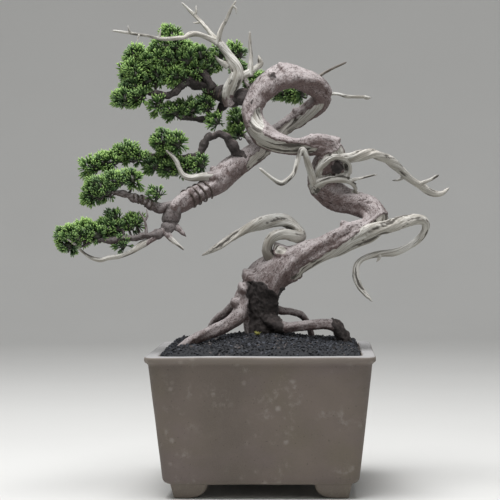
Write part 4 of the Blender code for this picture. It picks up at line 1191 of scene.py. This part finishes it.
def foliage_finish():
    """Green that is oldest inside the pad and newest at the tips, with fine scales."""
    finish = Finish("juniper_green")
    tip, tone, place = finish.attribute("tip"), finish.attribute("tone"), finish.place()
    scales = finish.cells(place, 900.0)
    young = finish.step(tone + finish.noise(place, 28.0, 2.0) * 0.5 - 0.1, 0.25, 0.85)
    green = finish.mix(finish.step(tip, 0.15, 0.95), finish.mix(young, *OLD_GREEN),
                       finish.mix(young, *NEW_GREEN))
    woody = finish.mix(finish.step(tip, 0.02, 0.14), WOODY_BASE, green)
    return finish.set(
        Base_Color=finish.mix(finish.step(scales, 0.25, 0.75) * 0.25, woody, BETWEEN_SCALES),
        Roughness=0.50 + tip * 0.12, Normal=finish.bump(scales, 0.5, 0.0003))


FOLIAGE_GREEN = foliage_finish()
print("foliage material:", len(FOLIAGE_GREEN.node_tree.nodes), "nodes")


# %% [markdown]
# ## Where the pads are
# A pad is a row of cushions. Each cushion is given by its middle and half sizes, and the core
# inside it is a heap of small balls melted into one lumpy skin, so that no fan stands on a flat
# place and the outline looks grown. The fans then fill the rest of the cushion.

# %% Cores of the pads
# Each row is x, y, z, half width, half depth and half height in millimetres.
FOLIAGE = {
    "foliage_low_tip": [
        (-205, -96, 131, 19, 20, 10), (-190, -92, 136, 15, 18, 9), (-209, -98, 121, 11, 14, 8),
        (-180, -88, 132, 10, 16, 8),
    ],
    "foliage_low_middle": [
        (-170, -78, 140, 12, 16, 9), (-162, -76, 150, 8, 11, 8), (-158, -74, 139, 8, 14, 8),
        (-152, -80, 122, 1.2, 1.6, 1.0),
    ],
    "foliage_low_inner": [(-147, -68, 141, 10, 13, 7), (-140, -66, 146, 7, 10, 6)],
    "foliage_left_lower": [
        (-179, -78, 187, 15, 20, 10), (-161, -76, 191, 16, 20, 9), (-184, -80, 176, 10, 13, 9),
        (-144, -72, 194, 13, 16, 9), (-170, -76, 180, 13, 16, 8), (-116, -64, 176, 1.2, 1.6, 1.2),
    ],
    "foliage_left_upper": [
        (-188, -54, 207, 13, 20, 7), (-170, -52, 213, 16, 22, 8), (-151, -48, 224, 14, 20, 11),
        (-140, -44, 219, 10, 14, 7),
    ],
    "foliage_middle_top": [
        (-112, -42, 238, 11, 16, 13), (-95, -38, 234, 9, 14, 10), (-106, -38, 226, 8, 12, 6),
    ],
    "foliage_middle_under": [
        (-121, -34, 210, 11, 15, 7), (-104, -32, 206, 13, 16, 8), (-88, -30, 208, 12, 16, 7),
        (-70, -26, 211, 12, 14, 7),
    ],
    "foliage_crown_low_left": [
        (-153, -34, 286, 16, 22, 10), (-138, -32, 288, 12, 18, 9), (-146, -28, 299, 14, 20, 9),
        (-117, -24, 279, 1.2, 1.6, 1.6),
    ],
    "foliage_crown_left": [
        (-143, -16, 335, 13, 20, 12), (-146, -22, 315, 17, 24, 14), (-130, -14, 324, 13, 22, 13),
        (-132, -18, 306, 14, 22, 12),
    ],
    "foliage_crown_centre": [
        (-108, -8, 330, 20, 28, 15), (-88, -4, 330, 17, 26, 15), (-100, -10, 312, 24, 26, 12),
        (-118, -10, 338, 12, 18, 9), (-78, 4, 318, 14, 22, 12), (-82, 2, 342, 11, 18, 9),
        (-120, -14, 314, 13, 22, 12), (-70, 4, 336, 12, 18, 10), (-112, -16, 346, 12, 14, 8),
        (-96, -10, 346, 11, 16, 8),
    ],
    "foliage_crown_knob": [(-103, -2, 360, 12, 16, 9), (-96, 0, 350, 10, 14, 8)],
    "foliage_crown_right": [
        (-63, 26, 328, 14, 20, 14), (-50, 28, 339, 9, 13, 10), (-70, 16, 316, 11, 16, 10),
    ],
    "foliage_crown_under": [
        (-101, -8, 272, 14, 18, 8), (-82, 0, 275, 14, 20, 10), (-64, 6, 280, 11, 16, 11),
        (-58, 8, 294, 8, 12, 8), (-52, -2, 261, 1.4, 1.8, 1.4),
    ],
    "foliage_back_top": [(-33, 66, 345, 11, 16, 13), (-29, 64, 328, 11, 16, 12)],
    "foliage_back_inner": [(-10, 70, 311, 15, 18, 11), (6, 74, 303, 12, 16, 9)],
    "foliage_back_right": [(24, 82, 299, 16, 16, 9), (42, 84, 299, 14, 16, 9)],
    "foliage_back_low": [(-29, 42, 264, 9, 14, 15), (-30, 40, 248, 8, 12, 8)],
}
SHOOT_REACH = 6.0       # millimetres that the core lies inside the outline of its pad
THINNEST_CORE = 2.5
BALLS = 16
GOLDEN_TURN = 2.39996   # radians between balls, so that they spread evenly
CORE_VOXEL = 0.0016


def pad_core(name, rows, seed):
    """A lumpy closed core, made of small balls round a plain body and melted together."""
    draw = np.random.default_rng(seed)
    bm = bmesh.new()
    for x, y, z, *halves in rows:
        inner = [max(half - SHOOT_REACH, THINNEST_CORE) for half in halves]
        for index in range(BALLS):
            height = 1 - 2 * (index + 0.5) / BALLS
            angle = index * GOLDEN_TURN + draw.uniform(-0.4, 0.4)
            flat = math.sqrt(1 - height * height)
            share = draw.uniform(0.45, 0.95)
            center = from_mouth((x + inner[0] * flat * math.cos(angle) * share,
                                 y + inner[1] * flat * math.sin(angle) * share,
                                 z + inner[2] * height * share))
            bmesh.ops.create_icosphere(bm, subdivisions=2, radius=draw.uniform(2.4, 4.0) * MM,
                                       matrix=Matrix.Translation(center))
        body = Matrix.Diagonal([half * 0.72 * MM for half in inner] + [1.0])
        place = Matrix.Translation(from_mouth((x, y, z)))
        bmesh.ops.create_icosphere(bm, subdivisions=3, radius=1.0, matrix=place @ body)
    core = linked_from(name, bm)
    melt(core, CORE_VOXEL)
    return baked(core)


# %% Make the pads
FAN_SPACING = 0.0029

for index, (name, rows) in enumerate(FOLIAGE.items()):
    pad = pad_core(name + "_shoots", rows, 300 + index)
    with_nodes(pad, PAD, Fan=FAN, Spacing=FAN_SPACING, Seed=index + 1, Finish=FOLIAGE_GREEN)
    baked(pad).data.shade_smooth()
    keep(pad, "foliage", name)
remove([FAN])


# %% [markdown]
# ## The pot
# A square stoneware pot for a tree this tall is pressed in slabs. Its walls lean in towards the
# base, a band runs round the mouth, and it stands on four bracket feet. One closed profile, from
# the underside, up the outside, over the rim and down the inside, is swept round a square with
# rounded corners. The feet are joined on and the drain holes cut through with Booleans.

# %% Sizes of the pot
POT_HALF = (pot_high.x - pot_low.x) / 2
FOOT_HEIGHT = 0.0162
RIM_DEPTH = 0.0085
OVERHANG = 0.003
WALL_LEAN = 0.0145
RIM_WIDTH = 0.0155
WALL = 0.012
FLOOR_TOP = FOOT_HEIGHT + 0.012
CORNER = 0.013                     # rounding of the upright edges
BASE_ROUND = 0.008                 # rounding from the wall to the underside
RIM_SOFT, RIM_HARD = 0.0026, 0.0036
FILLET = 0.0028                    # in the angle under the band
FLOOR_ROUND = 0.006
BASE_HALF = POT_HALF - OVERHANG - WALL_LEAN
BODY_HALF = POT_HALF - OVERHANG
MOUTH_HALF = POT_HALF - RIM_WIDTH
FLOOR_HALF = BASE_HALF - WALL
print("pot: %.1f mm wide, %.1f mm high" % (2 * POT_HALF / MM, RIM_HEIGHT / MM))


# %% Sweep the profile round the square
def square_ring(half, corner, height, along=14, bend=7):
    """Points round a square with rounded corners, evenly spread along each side."""
    points = []
    inner = half - corner
    for quarter in range(4):
        turn = Matrix.Rotation(quarter * math.pi / 2, 3, "Z")
        for step in range(along):
            points.append(turn @ Vector((half, -inner + 2 * inner * step / along, height)))
        for step in range(bend):
            angle = math.pi / 2 * step / bend
            points.append(turn @ Vector((inner + corner * math.cos(angle),
                                         inner + corner * math.sin(angle), height)))
    return points


def arc(center, radius, first, last, steps):
    """Half widths and heights on an arc, from the first to the last angle in degrees."""
    angles = [math.radians(first + (last - first) * step / steps) for step in range(steps + 1)]
    return [(center[0] + radius * math.cos(angle), center[1] + radius * math.sin(angle))
            for angle in angles]


def straight(low, high, steps):
    """Half widths and heights on a straight line, without its first point."""
    return [(low[0] + (high[0] - low[0]) * step / steps, low[1] + (high[1] - low[1]) * step / steps)
            for step in range(1, steps + 1)]


def pot_profile():
    """Half widths and heights from the underside, over the rim, to the inside floor."""
    under_rim = RIM_HEIGHT - RIM_DEPTH + 0.0008
    neck = BODY_HALF - 0.0010
    rows = [(BASE_HALF - BASE_ROUND - 0.02, FOOT_HEIGHT)]
    rows += arc((BASE_HALF - BASE_ROUND, FOOT_HEIGHT + BASE_ROUND), BASE_ROUND, -90, -4, 7)
    rows += straight(rows[-1], (neck, under_rim - FILLET), 10)
    rows += arc((neck + FILLET, under_rim - FILLET), FILLET, 180, 125, 3)[1:]
    rows += arc((POT_HALF - RIM_HARD, under_rim + RIM_HARD), RIM_HARD, -70, 0, 5)
    rows += arc((POT_HALF - RIM_SOFT, RIM_HEIGHT - RIM_SOFT), RIM_SOFT, 0, 90, 5)
    rows += [(POT_HALF - RIM_WIDTH * share, RIM_HEIGHT) for share in (0.4, 0.65)]
    rows += arc((MOUTH_HALF + RIM_HARD, RIM_HEIGHT - RIM_HARD), RIM_HARD, 90, 180, 4)
    rows += straight((MOUTH_HALF, RIM_HEIGHT - RIM_HARD), (FLOOR_HALF, FLOOR_TOP + FLOOR_ROUND), 8)
    rows += arc((FLOOR_HALF - FLOOR_ROUND, FLOOR_TOP + FLOOR_ROUND), FLOOR_ROUND, 0, -90, 4)[1:]
    rows.append((FLOOR_HALF - 0.03, FLOOR_TOP))
    return rows


SLAB_WAVES = ((16.0, 0.0005), (55.0, 0.00016))   # waves to the metre and their height in metres
NOISE_SHIFTS = (Vector((11.3, 0.0, 0.0)), Vector((0.0, 23.7, 0.0)), Vector((0.0, 0.0, 37.1)))


def handmade(point):
    """Moves a point by the small unevenness of a hand-pressed slab, the same in every run."""
    sway = [sum(height * noise.noise(point * waves + shift) for waves, height in SLAB_WAVES)
            for shift in NOISE_SHIFTS]
    return point + Vector(sway)


def loft(name, rings):
    """A closed mesh through rings of equally many points, with a flat cap at each end."""
    count = len(rings[0])
    faces = [tuple(reversed(range(count))),
             tuple(range((len(rings) - 1) * count, len(rings) * count))]
    faces += tube_faces(len(rings), count)
    thing = mesh_object(name, [point for ring in rings for point in ring], faces)
    bm = bmesh.new()
    bm.from_mesh(thing.data)
    bmesh.ops.recalc_face_normals(bm, faces=bm.faces)
    bm.to_mesh(thing.data)
    bm.free()
    return thing


# %% Feet
FOOT_WIDE, FOOT_NARROW = 0.041, 0.022     # at the pot and at the sole
FOOT_LEAN = 0.0035                        # of its outer sides
FOOT_CORNER = 0.0035
SOLE = 0.0012                             # height of the straight part above the sole
SOLE_ROUND = {-2: (0.0, 0.0014), -1: (0.0005, 0.0004)}   # height and inset of the first rings
SWEEP_RINGS = 12
SUNK_RINGS, SUNK_STEP = 2, 0.0014         # rings inside the pot's floor, to join on


def bracket_foot(side_x, side_y):
    """A bracket foot, with its inner sides in a round sweep from a wide top to a narrow sole."""
    corner = BASE_HALF - BASE_ROUND - 0.0008
    rings = []
    for step in range(-2, SWEEP_RINGS + SUNK_RINGS + 1):
        bend = math.pi / 2 * min(max(step, 0), SWEEP_RINGS) / SWEEP_RINGS
        share, wave = 1 - math.cos(bend), 1 - math.sin(bend)
        height = SOLE + (FOOT_HEIGHT - SOLE) * share + max(step - SWEEP_RINGS, 0) * SUNK_STEP
        height, inset = SOLE_ROUND.get(step, (height, 0.0))
        near = corner - FOOT_LEAN * (1 - share) - inset
        far = corner - FOOT_WIDE - (FOOT_LEAN + FOOT_NARROW - FOOT_WIDE) * wave + inset
        middle, half = (near + far) / 2, (near - far) / 2
        ring = square_ring(half, FOOT_CORNER, height, along=5, bend=4)
        rings.append([Vector((side_x * (middle + point.x), side_y * (middle + point.y), height))
                      for point in ring])
    return loft("foot", rings)


# %% Join the feet and drill the floor
DRAIN_APART = 0.042     # from the middle
DRAIN_RADIUS = 0.014


def drill(x):
    """A rod where a drain hole goes through the floor."""
    bm = bmesh.new()
    bmesh.ops.create_cone(bm, cap_ends=True, segments=40, radius1=DRAIN_RADIUS,
                          radius2=DRAIN_RADIUS, depth=0.03,
                          matrix=Matrix.Translation((x, 0.0, FOOT_HEIGHT + 0.006)))
    return linked_from("drill", bm)


def make_pot():
    rings = []
    for half, height in pot_profile():
        corner = min(CORNER + (half - BASE_HALF) * 0.1, half * 0.9)
        rings.append([handmade(point) for point in square_ring(half, corner, height)])
    pot = loft("pot_body", rings)
    others = [("UNION", bracket_foot(x, y)) for x in (-1, 1) for y in (-1, 1)]
    others += [("DIFFERENCE", drill(side * DRAIN_APART)) for side in (-1, 1)]
    for operation, other in others:
        cut = pot.modifiers.new("cut", "BOOLEAN")
        cut.operation = operation
        cut.object = other
        cut.solver = "EXACT"
    baked(pot)
    remove(other for _, other in others)
    pot.data.shade_smooth()
    pot.data.set_sharp_from_angle(angle=math.radians(40))
    return pot


# %% [markdown]
# ## Unglazed clay
# Such clay is fired without a glaze, so it is matt and never one colour. Iron burns to dark
# specks, watering leaves pale mineral dots and smears, and the top of the rim collects dust. Each
# of these is one mask made from noise or cells, laid over the clay in the order in which it came.

# %% Stoneware
DEEP_CLAY, BROWN_CLAY = (0.098, 0.080, 0.066), (0.148, 0.120, 0.102)
MAUVE_CLAY, OLIVE_CLAY = (0.136, 0.108, 0.103), (0.118, 0.101, 0.068)
SAND, IRON = (0.172, 0.142, 0.120), (0.050, 0.036, 0.028)
MINERAL_BLOOM = (0.36, 0.335, 0.31)
BAND_DUST, SPLASHED_BASE = (0.205, 0.178, 0.152), (0.235, 0.205, 0.165)
RIM_TOP = (0.27, 0.265, 0.265), (0.42, 0.42, 0.43)


def rim_masks(finish, place):
    """The pale top of the rim, the band below it, and the height of each point."""
    height = finish.add("ShaderNodeSeparateXYZ", {0: place}, output=2)
    normal = finish.add("ShaderNodeNewGeometry", output=1)
    facing = finish.add("ShaderNodeSeparateXYZ", {0: normal}, output=2)
    upward = (finish.step(facing, 0.55, 0.95)
              * finish.step(height, RIM_HEIGHT - 0.012, RIM_HEIGHT - 0.002))
    top = finish.step(height, RIM_HEIGHT - 0.030, RIM_HEIGHT - 0.008) * upward
    return top, finish.step(height, RIM_HEIGHT - 0.0095, RIM_HEIGHT - 0.006), height


def stoneware_finish():
    """Unglazed brown clay: soft clouds, iron specks, pale mineral bloom, and a dusty rim."""
    finish = Finish("brown_stoneware")
    place = finish.place()
    top, band, height = rim_masks(finish, place)
    cloud = finish.noise(place, 9.0, 4.0, 0.55)
    drift = finish.stretched(place, (14.0, 14.0, 34.0))
    sand = finish.noise(place, 900.0, 3.0, 0.7)
    clay = finish.mix(finish.step(cloud, 0.30, 0.70), DEEP_CLAY, BROWN_CLAY)
    mauve = finish.mix(finish.step(drift, 0.45, 0.70) * 0.55, clay, MAUVE_CLAY)
    olive = finish.mix(finish.step(finish.noise(place, 12.0, 2.0), 0.52, 0.72) * 0.45, mauve,
                       OLIVE_CLAY)
    grained = finish.mix(finish.step(sand, 0.35, 0.75) * 0.30, olive, SAND)
    fine = finish.noise(place, 420.0, 2.0)
    specked = finish.mix(finish.step(fine, 0.66, 0.74) * 0.5, grained, IRON)
    # The bloom is round dots with soft edges and smears, in some areas only.
    where = finish.step(finish.noise(place, 27.0, 2.0), 0.47, 0.62)
    bloom = (1.0 - finish.step(finish.cells(place, 62.0) + fine * 0.20, 0.14, 0.38)) * where
    smear = finish.step(finish.noise(place, 75.0, 5.0, 0.75), 0.50, 0.72) * where
    dusty = finish.mix(bloom * 0.42 + smear * 0.30, specked, MINERAL_BLOOM)
    banded = finish.mix(band * 0.45, dusty, BAND_DUST)
    splash = finish.step(height, 0.022, 0.014) * (0.35 + finish.step(sand, 0.5, 0.7) * 0.35)
    rim = finish.mix(finish.stretched(place, (30.0, 30.0, 260.0)), *RIM_TOP)
    lumps = sand * 0.5 + finish.noise(place, 160.0, 3.0) * 1.5 + drift * 2.0
    return finish.set(
        Base_Color=finish.mix(top * 0.9, finish.mix(splash, banded, SPLASHED_BASE), rim),
        Roughness=0.62 + cloud * 0.18 + bloom * 0.1, Normal=finish.bump(lumps, 0.55, 0.0006))


keep(make_pot(), "stoneware", "pot", material=stoneware_finish())


# %% [markdown]
# ## Grit on top, and what is hidden under it
# The tree stands in sifted volcanic grit, heaped towards the trunk. Each grain is a little stone
# of a few faces. Thousands of them are scattered by a Geometry Nodes tree over a dark bed, and
# none is put where a root is. The screens, clips, wires and the layers below stay as packed.

# %% One grain and the shape of the heap
STONE_POINTS = 10
STONE_SHAPE = (1.0, 0.85, 0.75)
HEAP_RADIUS = 0.042                # of the mound round the trunk
HEAP_HEIGHT, SHOULDER_HEIGHT = 0.012, 0.009
SHOULDER_WIDTH = 0.013             # the grit falls off beside the wall
FALL_DEPTH = 0.002                 # to this far below the rim


def mound_height(x, y):
    """Height of the grit over a point of the mouth."""
    wall = MOUTH_HALF - max(abs(x), abs(y))
    fall = min(max(wall / SHOULDER_WIDTH, 0.0), 1.0)
    heap = math.exp(-(x * x + y * y) / (2 * HEAP_RADIUS ** 2))
    shoulder = SHOULDER_HEIGHT + HEAP_HEIGHT * heap
    return RIM_HEIGHT - FALL_DEPTH + (shoulder + FALL_DEPTH) * math.sqrt(fall)


def make_stone(seed):
    """The convex hull of a few random points: a grain of about sixteen flat faces."""
    draw = np.random.default_rng(seed)
    bm = bmesh.new()
    for _ in range(STONE_POINTS):
        way = Vector(draw.normal(size=3)).normalized()
        squashed = Vector([axis * share for axis, share in zip(way, STONE_SHAPE)])
        bm.verts.new(squashed * draw.uniform(0.8, 1.1))
    hull = bmesh.ops.convex_hull(bm, input=bm.verts)
    inside = [item for item in hull["geom_interior"] if isinstance(item, bmesh.types.BMVert)]
    bmesh.ops.delete(bm, geom=inside, context="VERTS")
    bmesh.ops.recalc_face_normals(bm, faces=bm.faces)
    return linked_from("grain_%d" % seed, bm)


# %% The bed under the grains
BED_CELLS = 110
BED_GAP = 0.0008        # between the bed and the pot's wall
BED_DEPTH = 0.0095      # of its underside below the rim
BED_SINK = 0.0016       # the grains' height above it
BED_LUMPS = 0.0022


def make_bed():
    """A closed block with the heaped surface on top; `free` is 1 where no limb comes through."""
    half = MOUTH_HALF - BED_GAP
    limbs = np.vstack([smooth_path(rows, 0.003)[0] for rows in [TRUNK[:9], *ROOTS.values()]])
    side = BED_CELLS + 1
    vertices, free = [], []
    for row in range(side):
        for column in range(side):
            x, y = (-half + 2 * half * cell / BED_CELLS for cell in (column, row))
            lump = noise.noise(Vector((x, y, 0)) * 110.0) * BED_LUMPS
            z = mound_height(x, y) + lump - BED_SINK
            vertices.append((x, y, z))
            beyond = np.linalg.norm(limbs[:, :3] - (x, y, z + 0.0008), axis=1) - limbs[:, 3]
            clear = beyond.min() > -0.0004 and max(abs(x), abs(y)) < half - 0.0006
            free.append(1.0 if clear else 0.0)
    count = len(vertices)
    vertices += [(x, y, RIM_HEIGHT - BED_DEPTH) for x, y, _ in vertices]
    free += [0.0] * count
    faces = []
    for row in range(BED_CELLS):
        for column in range(BED_CELLS):
            a = row * side + column
            faces.append((a, a + 1, a + side + 1, a + side))
            faces.append((count + a, count + a + side, count + a + side + 1, count + a + 1))
    for step in range(BED_CELLS):
        for first, second in ((step, step + 1),
                              (BED_CELLS * side + step + 1, BED_CELLS * side + step),
                              ((step + 1) * side, step * side),
                              (step * side + BED_CELLS, (step + 1) * side + BED_CELLS)):
            faces.append((first, count + first, count + second, second))
    return mesh_object("grit", vertices, faces, {"free": free})


# %% Scatter the grains
def grit_tree(stones):
    recipe = Recipe("scattered_grit", {
        "Spacing": ("Float", 0.0033), "Smallest": ("Float", 0.0014), "Largest": ("Float", 0.0034),
        "Seed": ("Int", 1), "Finish": ("Material", None)})
    given = recipe.given
    open_ground = recipe.math("GREATER_THAN", recipe.field("free"), 0.99)
    spread = recipe.spread(Distance_Min=given["Spacing"], Selection=open_ground)
    heap = recipe.join(*[recipe.shape_of(stone, True) for stone in stones])
    spin = recipe.random((0.0, 0.0, 0.0), (6.28, 6.28, 6.28), 4)
    size = (given["Smallest"]
            + recipe.random(0.0, 1.0, 6) ** 1.6 * (given["Largest"] - given["Smallest"]))
    turned = recipe.add("FunctionNodeEulerToRotation", {0: spin})
    grains = recipe.add("GeometryNodeInstanceOnPoints", {
        "Points": spread, "Instance": heap, "Pick Instance": True, "Rotation": turned,
        "Scale": size})
    toned = recipe.store(grains, "tone", recipe.random(0.0, 1.0, 8), "INSTANCE")
    return recipe.close(recipe.join(given["Geometry"], toned))


# %% [markdown]
# ## The finish of the grit
# Volcanic grit is blue black and full of pores. All grains share one material, and `tone`, a
# random number that each instance carries into the mesh, makes every stone a little different.

# %% Grit material
DARK_GRIT, BLUE_GRIT = (0.007, 0.008, 0.011), (0.075, 0.083, 0.105)
GRIT_DUST, BROWN_GRIT = (0.075, 0.080, 0.092), (0.12, 0.085, 0.060)


def grit_finish():
    """Blue black stones, each in its own tone, with pores, and a brown one here and there."""
    finish = Finish("volcanic_grit")
    tone = finish.attribute("tone")
    pores = finish.noise(finish.place(), 1500.0, 3.0, 0.6)
    cool = finish.mix(tone ** 3.0, DARK_GRIT, BLUE_GRIT)
    dusted = finish.mix(finish.step(pores, 0.45, 0.75) * 0.30, cool, GRIT_DUST)
    brown = finish.mix(finish.step(tone, 0.93, 0.97) * 0.5, dusted, BROWN_GRIT)
    return finish.set(Base_Color=brown, Roughness=0.88 - pores * 0.15,
                      Normal=finish.bump(pores, 0.8, 0.0004))


stones = [make_stone(seed) for seed in (1, 2, 3, 4)]
bed = with_nodes(make_bed(), grit_tree(stones), Finish=grit_finish())
baked(bed).data.shade_flat()
remove(stones)
keep(bed, "grit", "top_dressing")


# %% [markdown]
# ## A weed in the grit
# One small yellow green seedling grows at the foot of the trunk. Its leaves are few, so they are
# built one by one: four corners, with a point above and one below the middle for thickness.

# %% The weed's leaves
WEED_PLACE = (-5.0 * MM, -34.0 * MM)
WEED_LEAVES = 11
LEAF_WIDTH = 0.20       # half of it, as a share of the length
WEED_TONES = (0.150, 0.165, 0.030), (0.330, 0.300, 0.065)


def make_weed():
    """A tuft of small pointed leaves, each a folded diamond with some thickness."""
    draw = np.random.default_rng(71)
    base = Vector((*WEED_PLACE, 0.0))
    base.z = mound_height(base.x, base.y) - 0.0006
    vertices, faces = [], []
    for leaf in range(WEED_LEAVES):
        turn = 2 * math.pi * leaf / WEED_LEAVES + draw.uniform(-0.3, 0.3)
        rise, length = draw.uniform(0.35, 1.25), draw.uniform(4.0, 7.5) * MM
        ahead = Vector((math.cos(turn) * math.cos(rise), math.sin(turn) * math.cos(rise),
                        math.sin(rise)))
        side = ahead.cross(Vector((0, 0, 1))).normalized()
        up = side.cross(ahead).normalized()
        middle = base + ahead * length * 0.55
        first = len(vertices)
        vertices += [base, middle + side * length * LEAF_WIDTH + up * 0.0005, base + ahead * length,
                     middle - side * length * LEAF_WIDTH + up * 0.0005, middle - up * 0.0003,
                     middle + up * 0.0001]
        for a, b in ((0, 1), (1, 2), (2, 3), (3, 0)):
            faces.append((first + a, first + b, first + 5))
            faces.append((first + b, first + a, first + 4))
    finish = Finish("weed_leaf")
    tone = finish.noise(finish.place(), 320.0, 2.0)
    keep(mesh_object("weed", vertices, faces), "foliage",
         material=finish.set(Base_Color=finish.mix(tone, *WEED_TONES), Roughness=0.6))


make_weed()


# %% [markdown]
# ## The hidden parts
# The drainage layer, the soil, the screens and the wires lie inside the pot, and their packed
# shapes are already right. They only need a finish, so one small recipe of two tones serves all.

# %% Finishes of the hidden parts
HIDDEN = {  # two tones, scale, roughness, metallic, bump in metres, and the nodes that have them
    "pumice": ((0.20, 0.17, 0.13), (0.38, 0.33, 0.27), 260.0, 0.85, 0.0, 0.0004,
               ["drainage_layer"]),
    "potting_mix": ((0.045, 0.030, 0.020), (0.130, 0.085, 0.050), 420.0, 0.88, 0.0, 0.0004,
                    ["potting_soil"]),
    "black_plastic": ((0.012, 0.012, 0.012), (0.024, 0.024, 0.024), 700.0, 0.45, 0.0, 0.0001,
                      ["drainage_screen_left", "drainage_screen_right"]),
    "old_aluminium": ((0.10, 0.075, 0.055), (0.17, 0.13, 0.10), 500.0, 0.38, 0.9, 0.0001,
                      ["screen_clip_left", "screen_clip_right", "tie_down_wire_front",
                       "tie_down_wire_back"]),
}


def plain_finish(name, first, second, scale, roughness, metallic, depth):
    """Two tones in a fine pattern, with a bump to match."""
    finish = Finish(name)
    place = finish.place()
    pattern = finish.noise(place, scale, 4.0, 0.6)
    lumps = finish.cells(place, scale * 0.5)
    return finish.set(
        Base_Color=finish.mix(finish.step(pattern, 0.3, 0.7), first, second),
        Roughness=roughness + pattern * 0.1, Metallic=metallic,
        Normal=finish.bump(lumps + pattern * 0.5, 0.7, depth))


for name, (*looks, nodes) in HIDDEN.items():
    finish = plain_finish(name, *looks)
    for node in nodes:
        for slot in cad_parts[node].material_slots:
            slot.material = finish
    print("dressed in %s: %s" % (name, ", ".join(nodes)))


# %% [markdown]
# ## Twigs inside the pads
# Between a branch and its shoots are thin brown twigs. They show at the underside and edges of a
# pad. For each cushion of a pad, a twig leaves the nearest branch, curves to the cushion's middle,
# and forks towards its rim.

# %% Grow the twigs
TWIG_BASE, TWIG_FORK = (1.5, 1.1), (0.95, 0.5)   # first and last radius in millimetres
FORKS = 6
TWIG_WANDER, TWIG_SAG = 2.0, 1.5                 # millimetres
TWIG_DARKNESS = 0.55


def twig_rows(start, end, radii, draw):
    """A curved row of points from start to end that sags a little and tapers."""
    first, last = radii
    middle = ((start + end) / 2 + Vector(draw.normal(size=3)) * TWIG_WANDER
              - Vector((0, 0, TWIG_SAG)))
    return [(*start, first), (*middle, (first + last) / 2), (*end, last)]


def make_twigs():
    carriers = np.vstack([smooth_path(rows, 0.002)[0] for rows in BRANCHES.values()])[:, :3]
    draw = np.random.default_rng(41)
    twigs = Bundle()

    def grow(start, end, radii):
        rows = twig_rows(start, end, radii, draw)
        twigs.add(*limb_surface(rows, 0.0018, 6, flute=0.1, twist=30.0, lumps=0.2,
                                seed=len(twigs.points), blunt=1.0))

    for rows in FOLIAGE.values():
        for x, y, z, *halves in rows:
            middle = Vector((x, y, z - 0.25 * halves[2]))
            gaps = np.linalg.norm(carriers - np.array(from_mouth(middle)), axis=1)
            grow(to_mouth(carriers[gaps.argmin()]), middle, TWIG_BASE)
            for _ in range(FORKS):
                way = Vector((draw.normal(), draw.normal(), draw.normal() * 0.6)).normalized()
                reach = Vector([way[axis] * halves[axis] * 0.80 for axis in range(3)])
                grow(middle, Vector((x, y, z)) + reach, TWIG_FORK)
    count = sum(len(part) for part in twigs.points)
    piece = mesh_object("twigs", np.vstack(twigs.points), twigs.faces, {
        "grain": np.vstack(twigs.grains), "bare": np.zeros(count),
        "dark": np.full(count, TWIG_DARKNESS), "hollow": np.zeros(count)})
    keep(piece, "bark", material=WOOD)


make_twigs()


# %% [markdown]
# ## Training wires
# A grower winds soft annealed wire round a limb to bend it. The coils lie tight on the bark at a
# steady slope. A turn is a helix in the limb's own turning frames, a wire's radius off its surface.

# %% Wind the wires
WIRE_RADIUS = 1.1       # millimetres
WIRE_BITE = 0.35        # how far it presses into the bark
WIRE_STEPS = 6          # points of the helix to each step of the limb's path
WIRE_SPACING = 0.0008
KEPT_STEP = 4           # every fourth point carries the tube
WIRE_TURNS = {  # the limb, the share of its length where the coils start and end, and their number
    "training_wire_low": ("branch_low_left", 0.79, 0.92, 4),
    "training_wire_left": ("branch_left", 0.34, 0.66, 5),
    "training_wire_crown": ("branch_crown", 0.22, 0.40, 4),
}
WIRE_TONES = (0.055, 0.042, 0.036), (0.125, 0.098, 0.086)


def wire_finish():
    """Brown annealed metal, worn a little brighter in places."""
    finish = Finish("annealed_wire")
    worn = finish.noise(finish.place(), 260.0, 3.0)
    return finish.set(Base_Color=finish.mix(finish.step(worn, 0.4, 0.7), *WIRE_TONES),
                      Metallic=0.6, Roughness=0.46 + worn * 0.15,
                      Normal=finish.bump(worn, 0.3, 0.0002))


def coil_points(limb, start, end, turns):
    """Points of a helix round a stretch of a limb."""
    path, _ = smooth_path(BRANCHES[limb], WIRE_SPACING)
    heading, across, upward = turning_frames(path[:, :3])
    first, last = int(len(path) * start), int(len(path) * end)
    points = []
    for index in range(first, last):
        share = (index - first) / (last - first)
        reach = path[index, 3] + (WIRE_RADIUS - WIRE_BITE) * MM
        for part in range(WIRE_STEPS):
            angle = 2 * math.pi * turns * (share + part / WIRE_STEPS / (last - first))
            out = across[index] * math.cos(angle) + upward[index] * math.sin(angle)
            along = heading[index] * WIRE_SPACING * part / WIRE_STEPS
            points.append(path[index, :3] + out * reach + along)
    return points[::KEPT_STEP]


wire = wire_finish()
for name, turns in WIRE_TURNS.items():
    rows = [(*to_mouth(point), WIRE_RADIUS) for point in coil_points(*turns)]
    points, faces, _ = limb_surface(rows, 0.0009, 8, flute=0.0, twist=0.0, lumps=0.0, blunt=0.6)
    keep(mesh_object(name + "_coil", points, faces), "training_wire", name, material=wire)
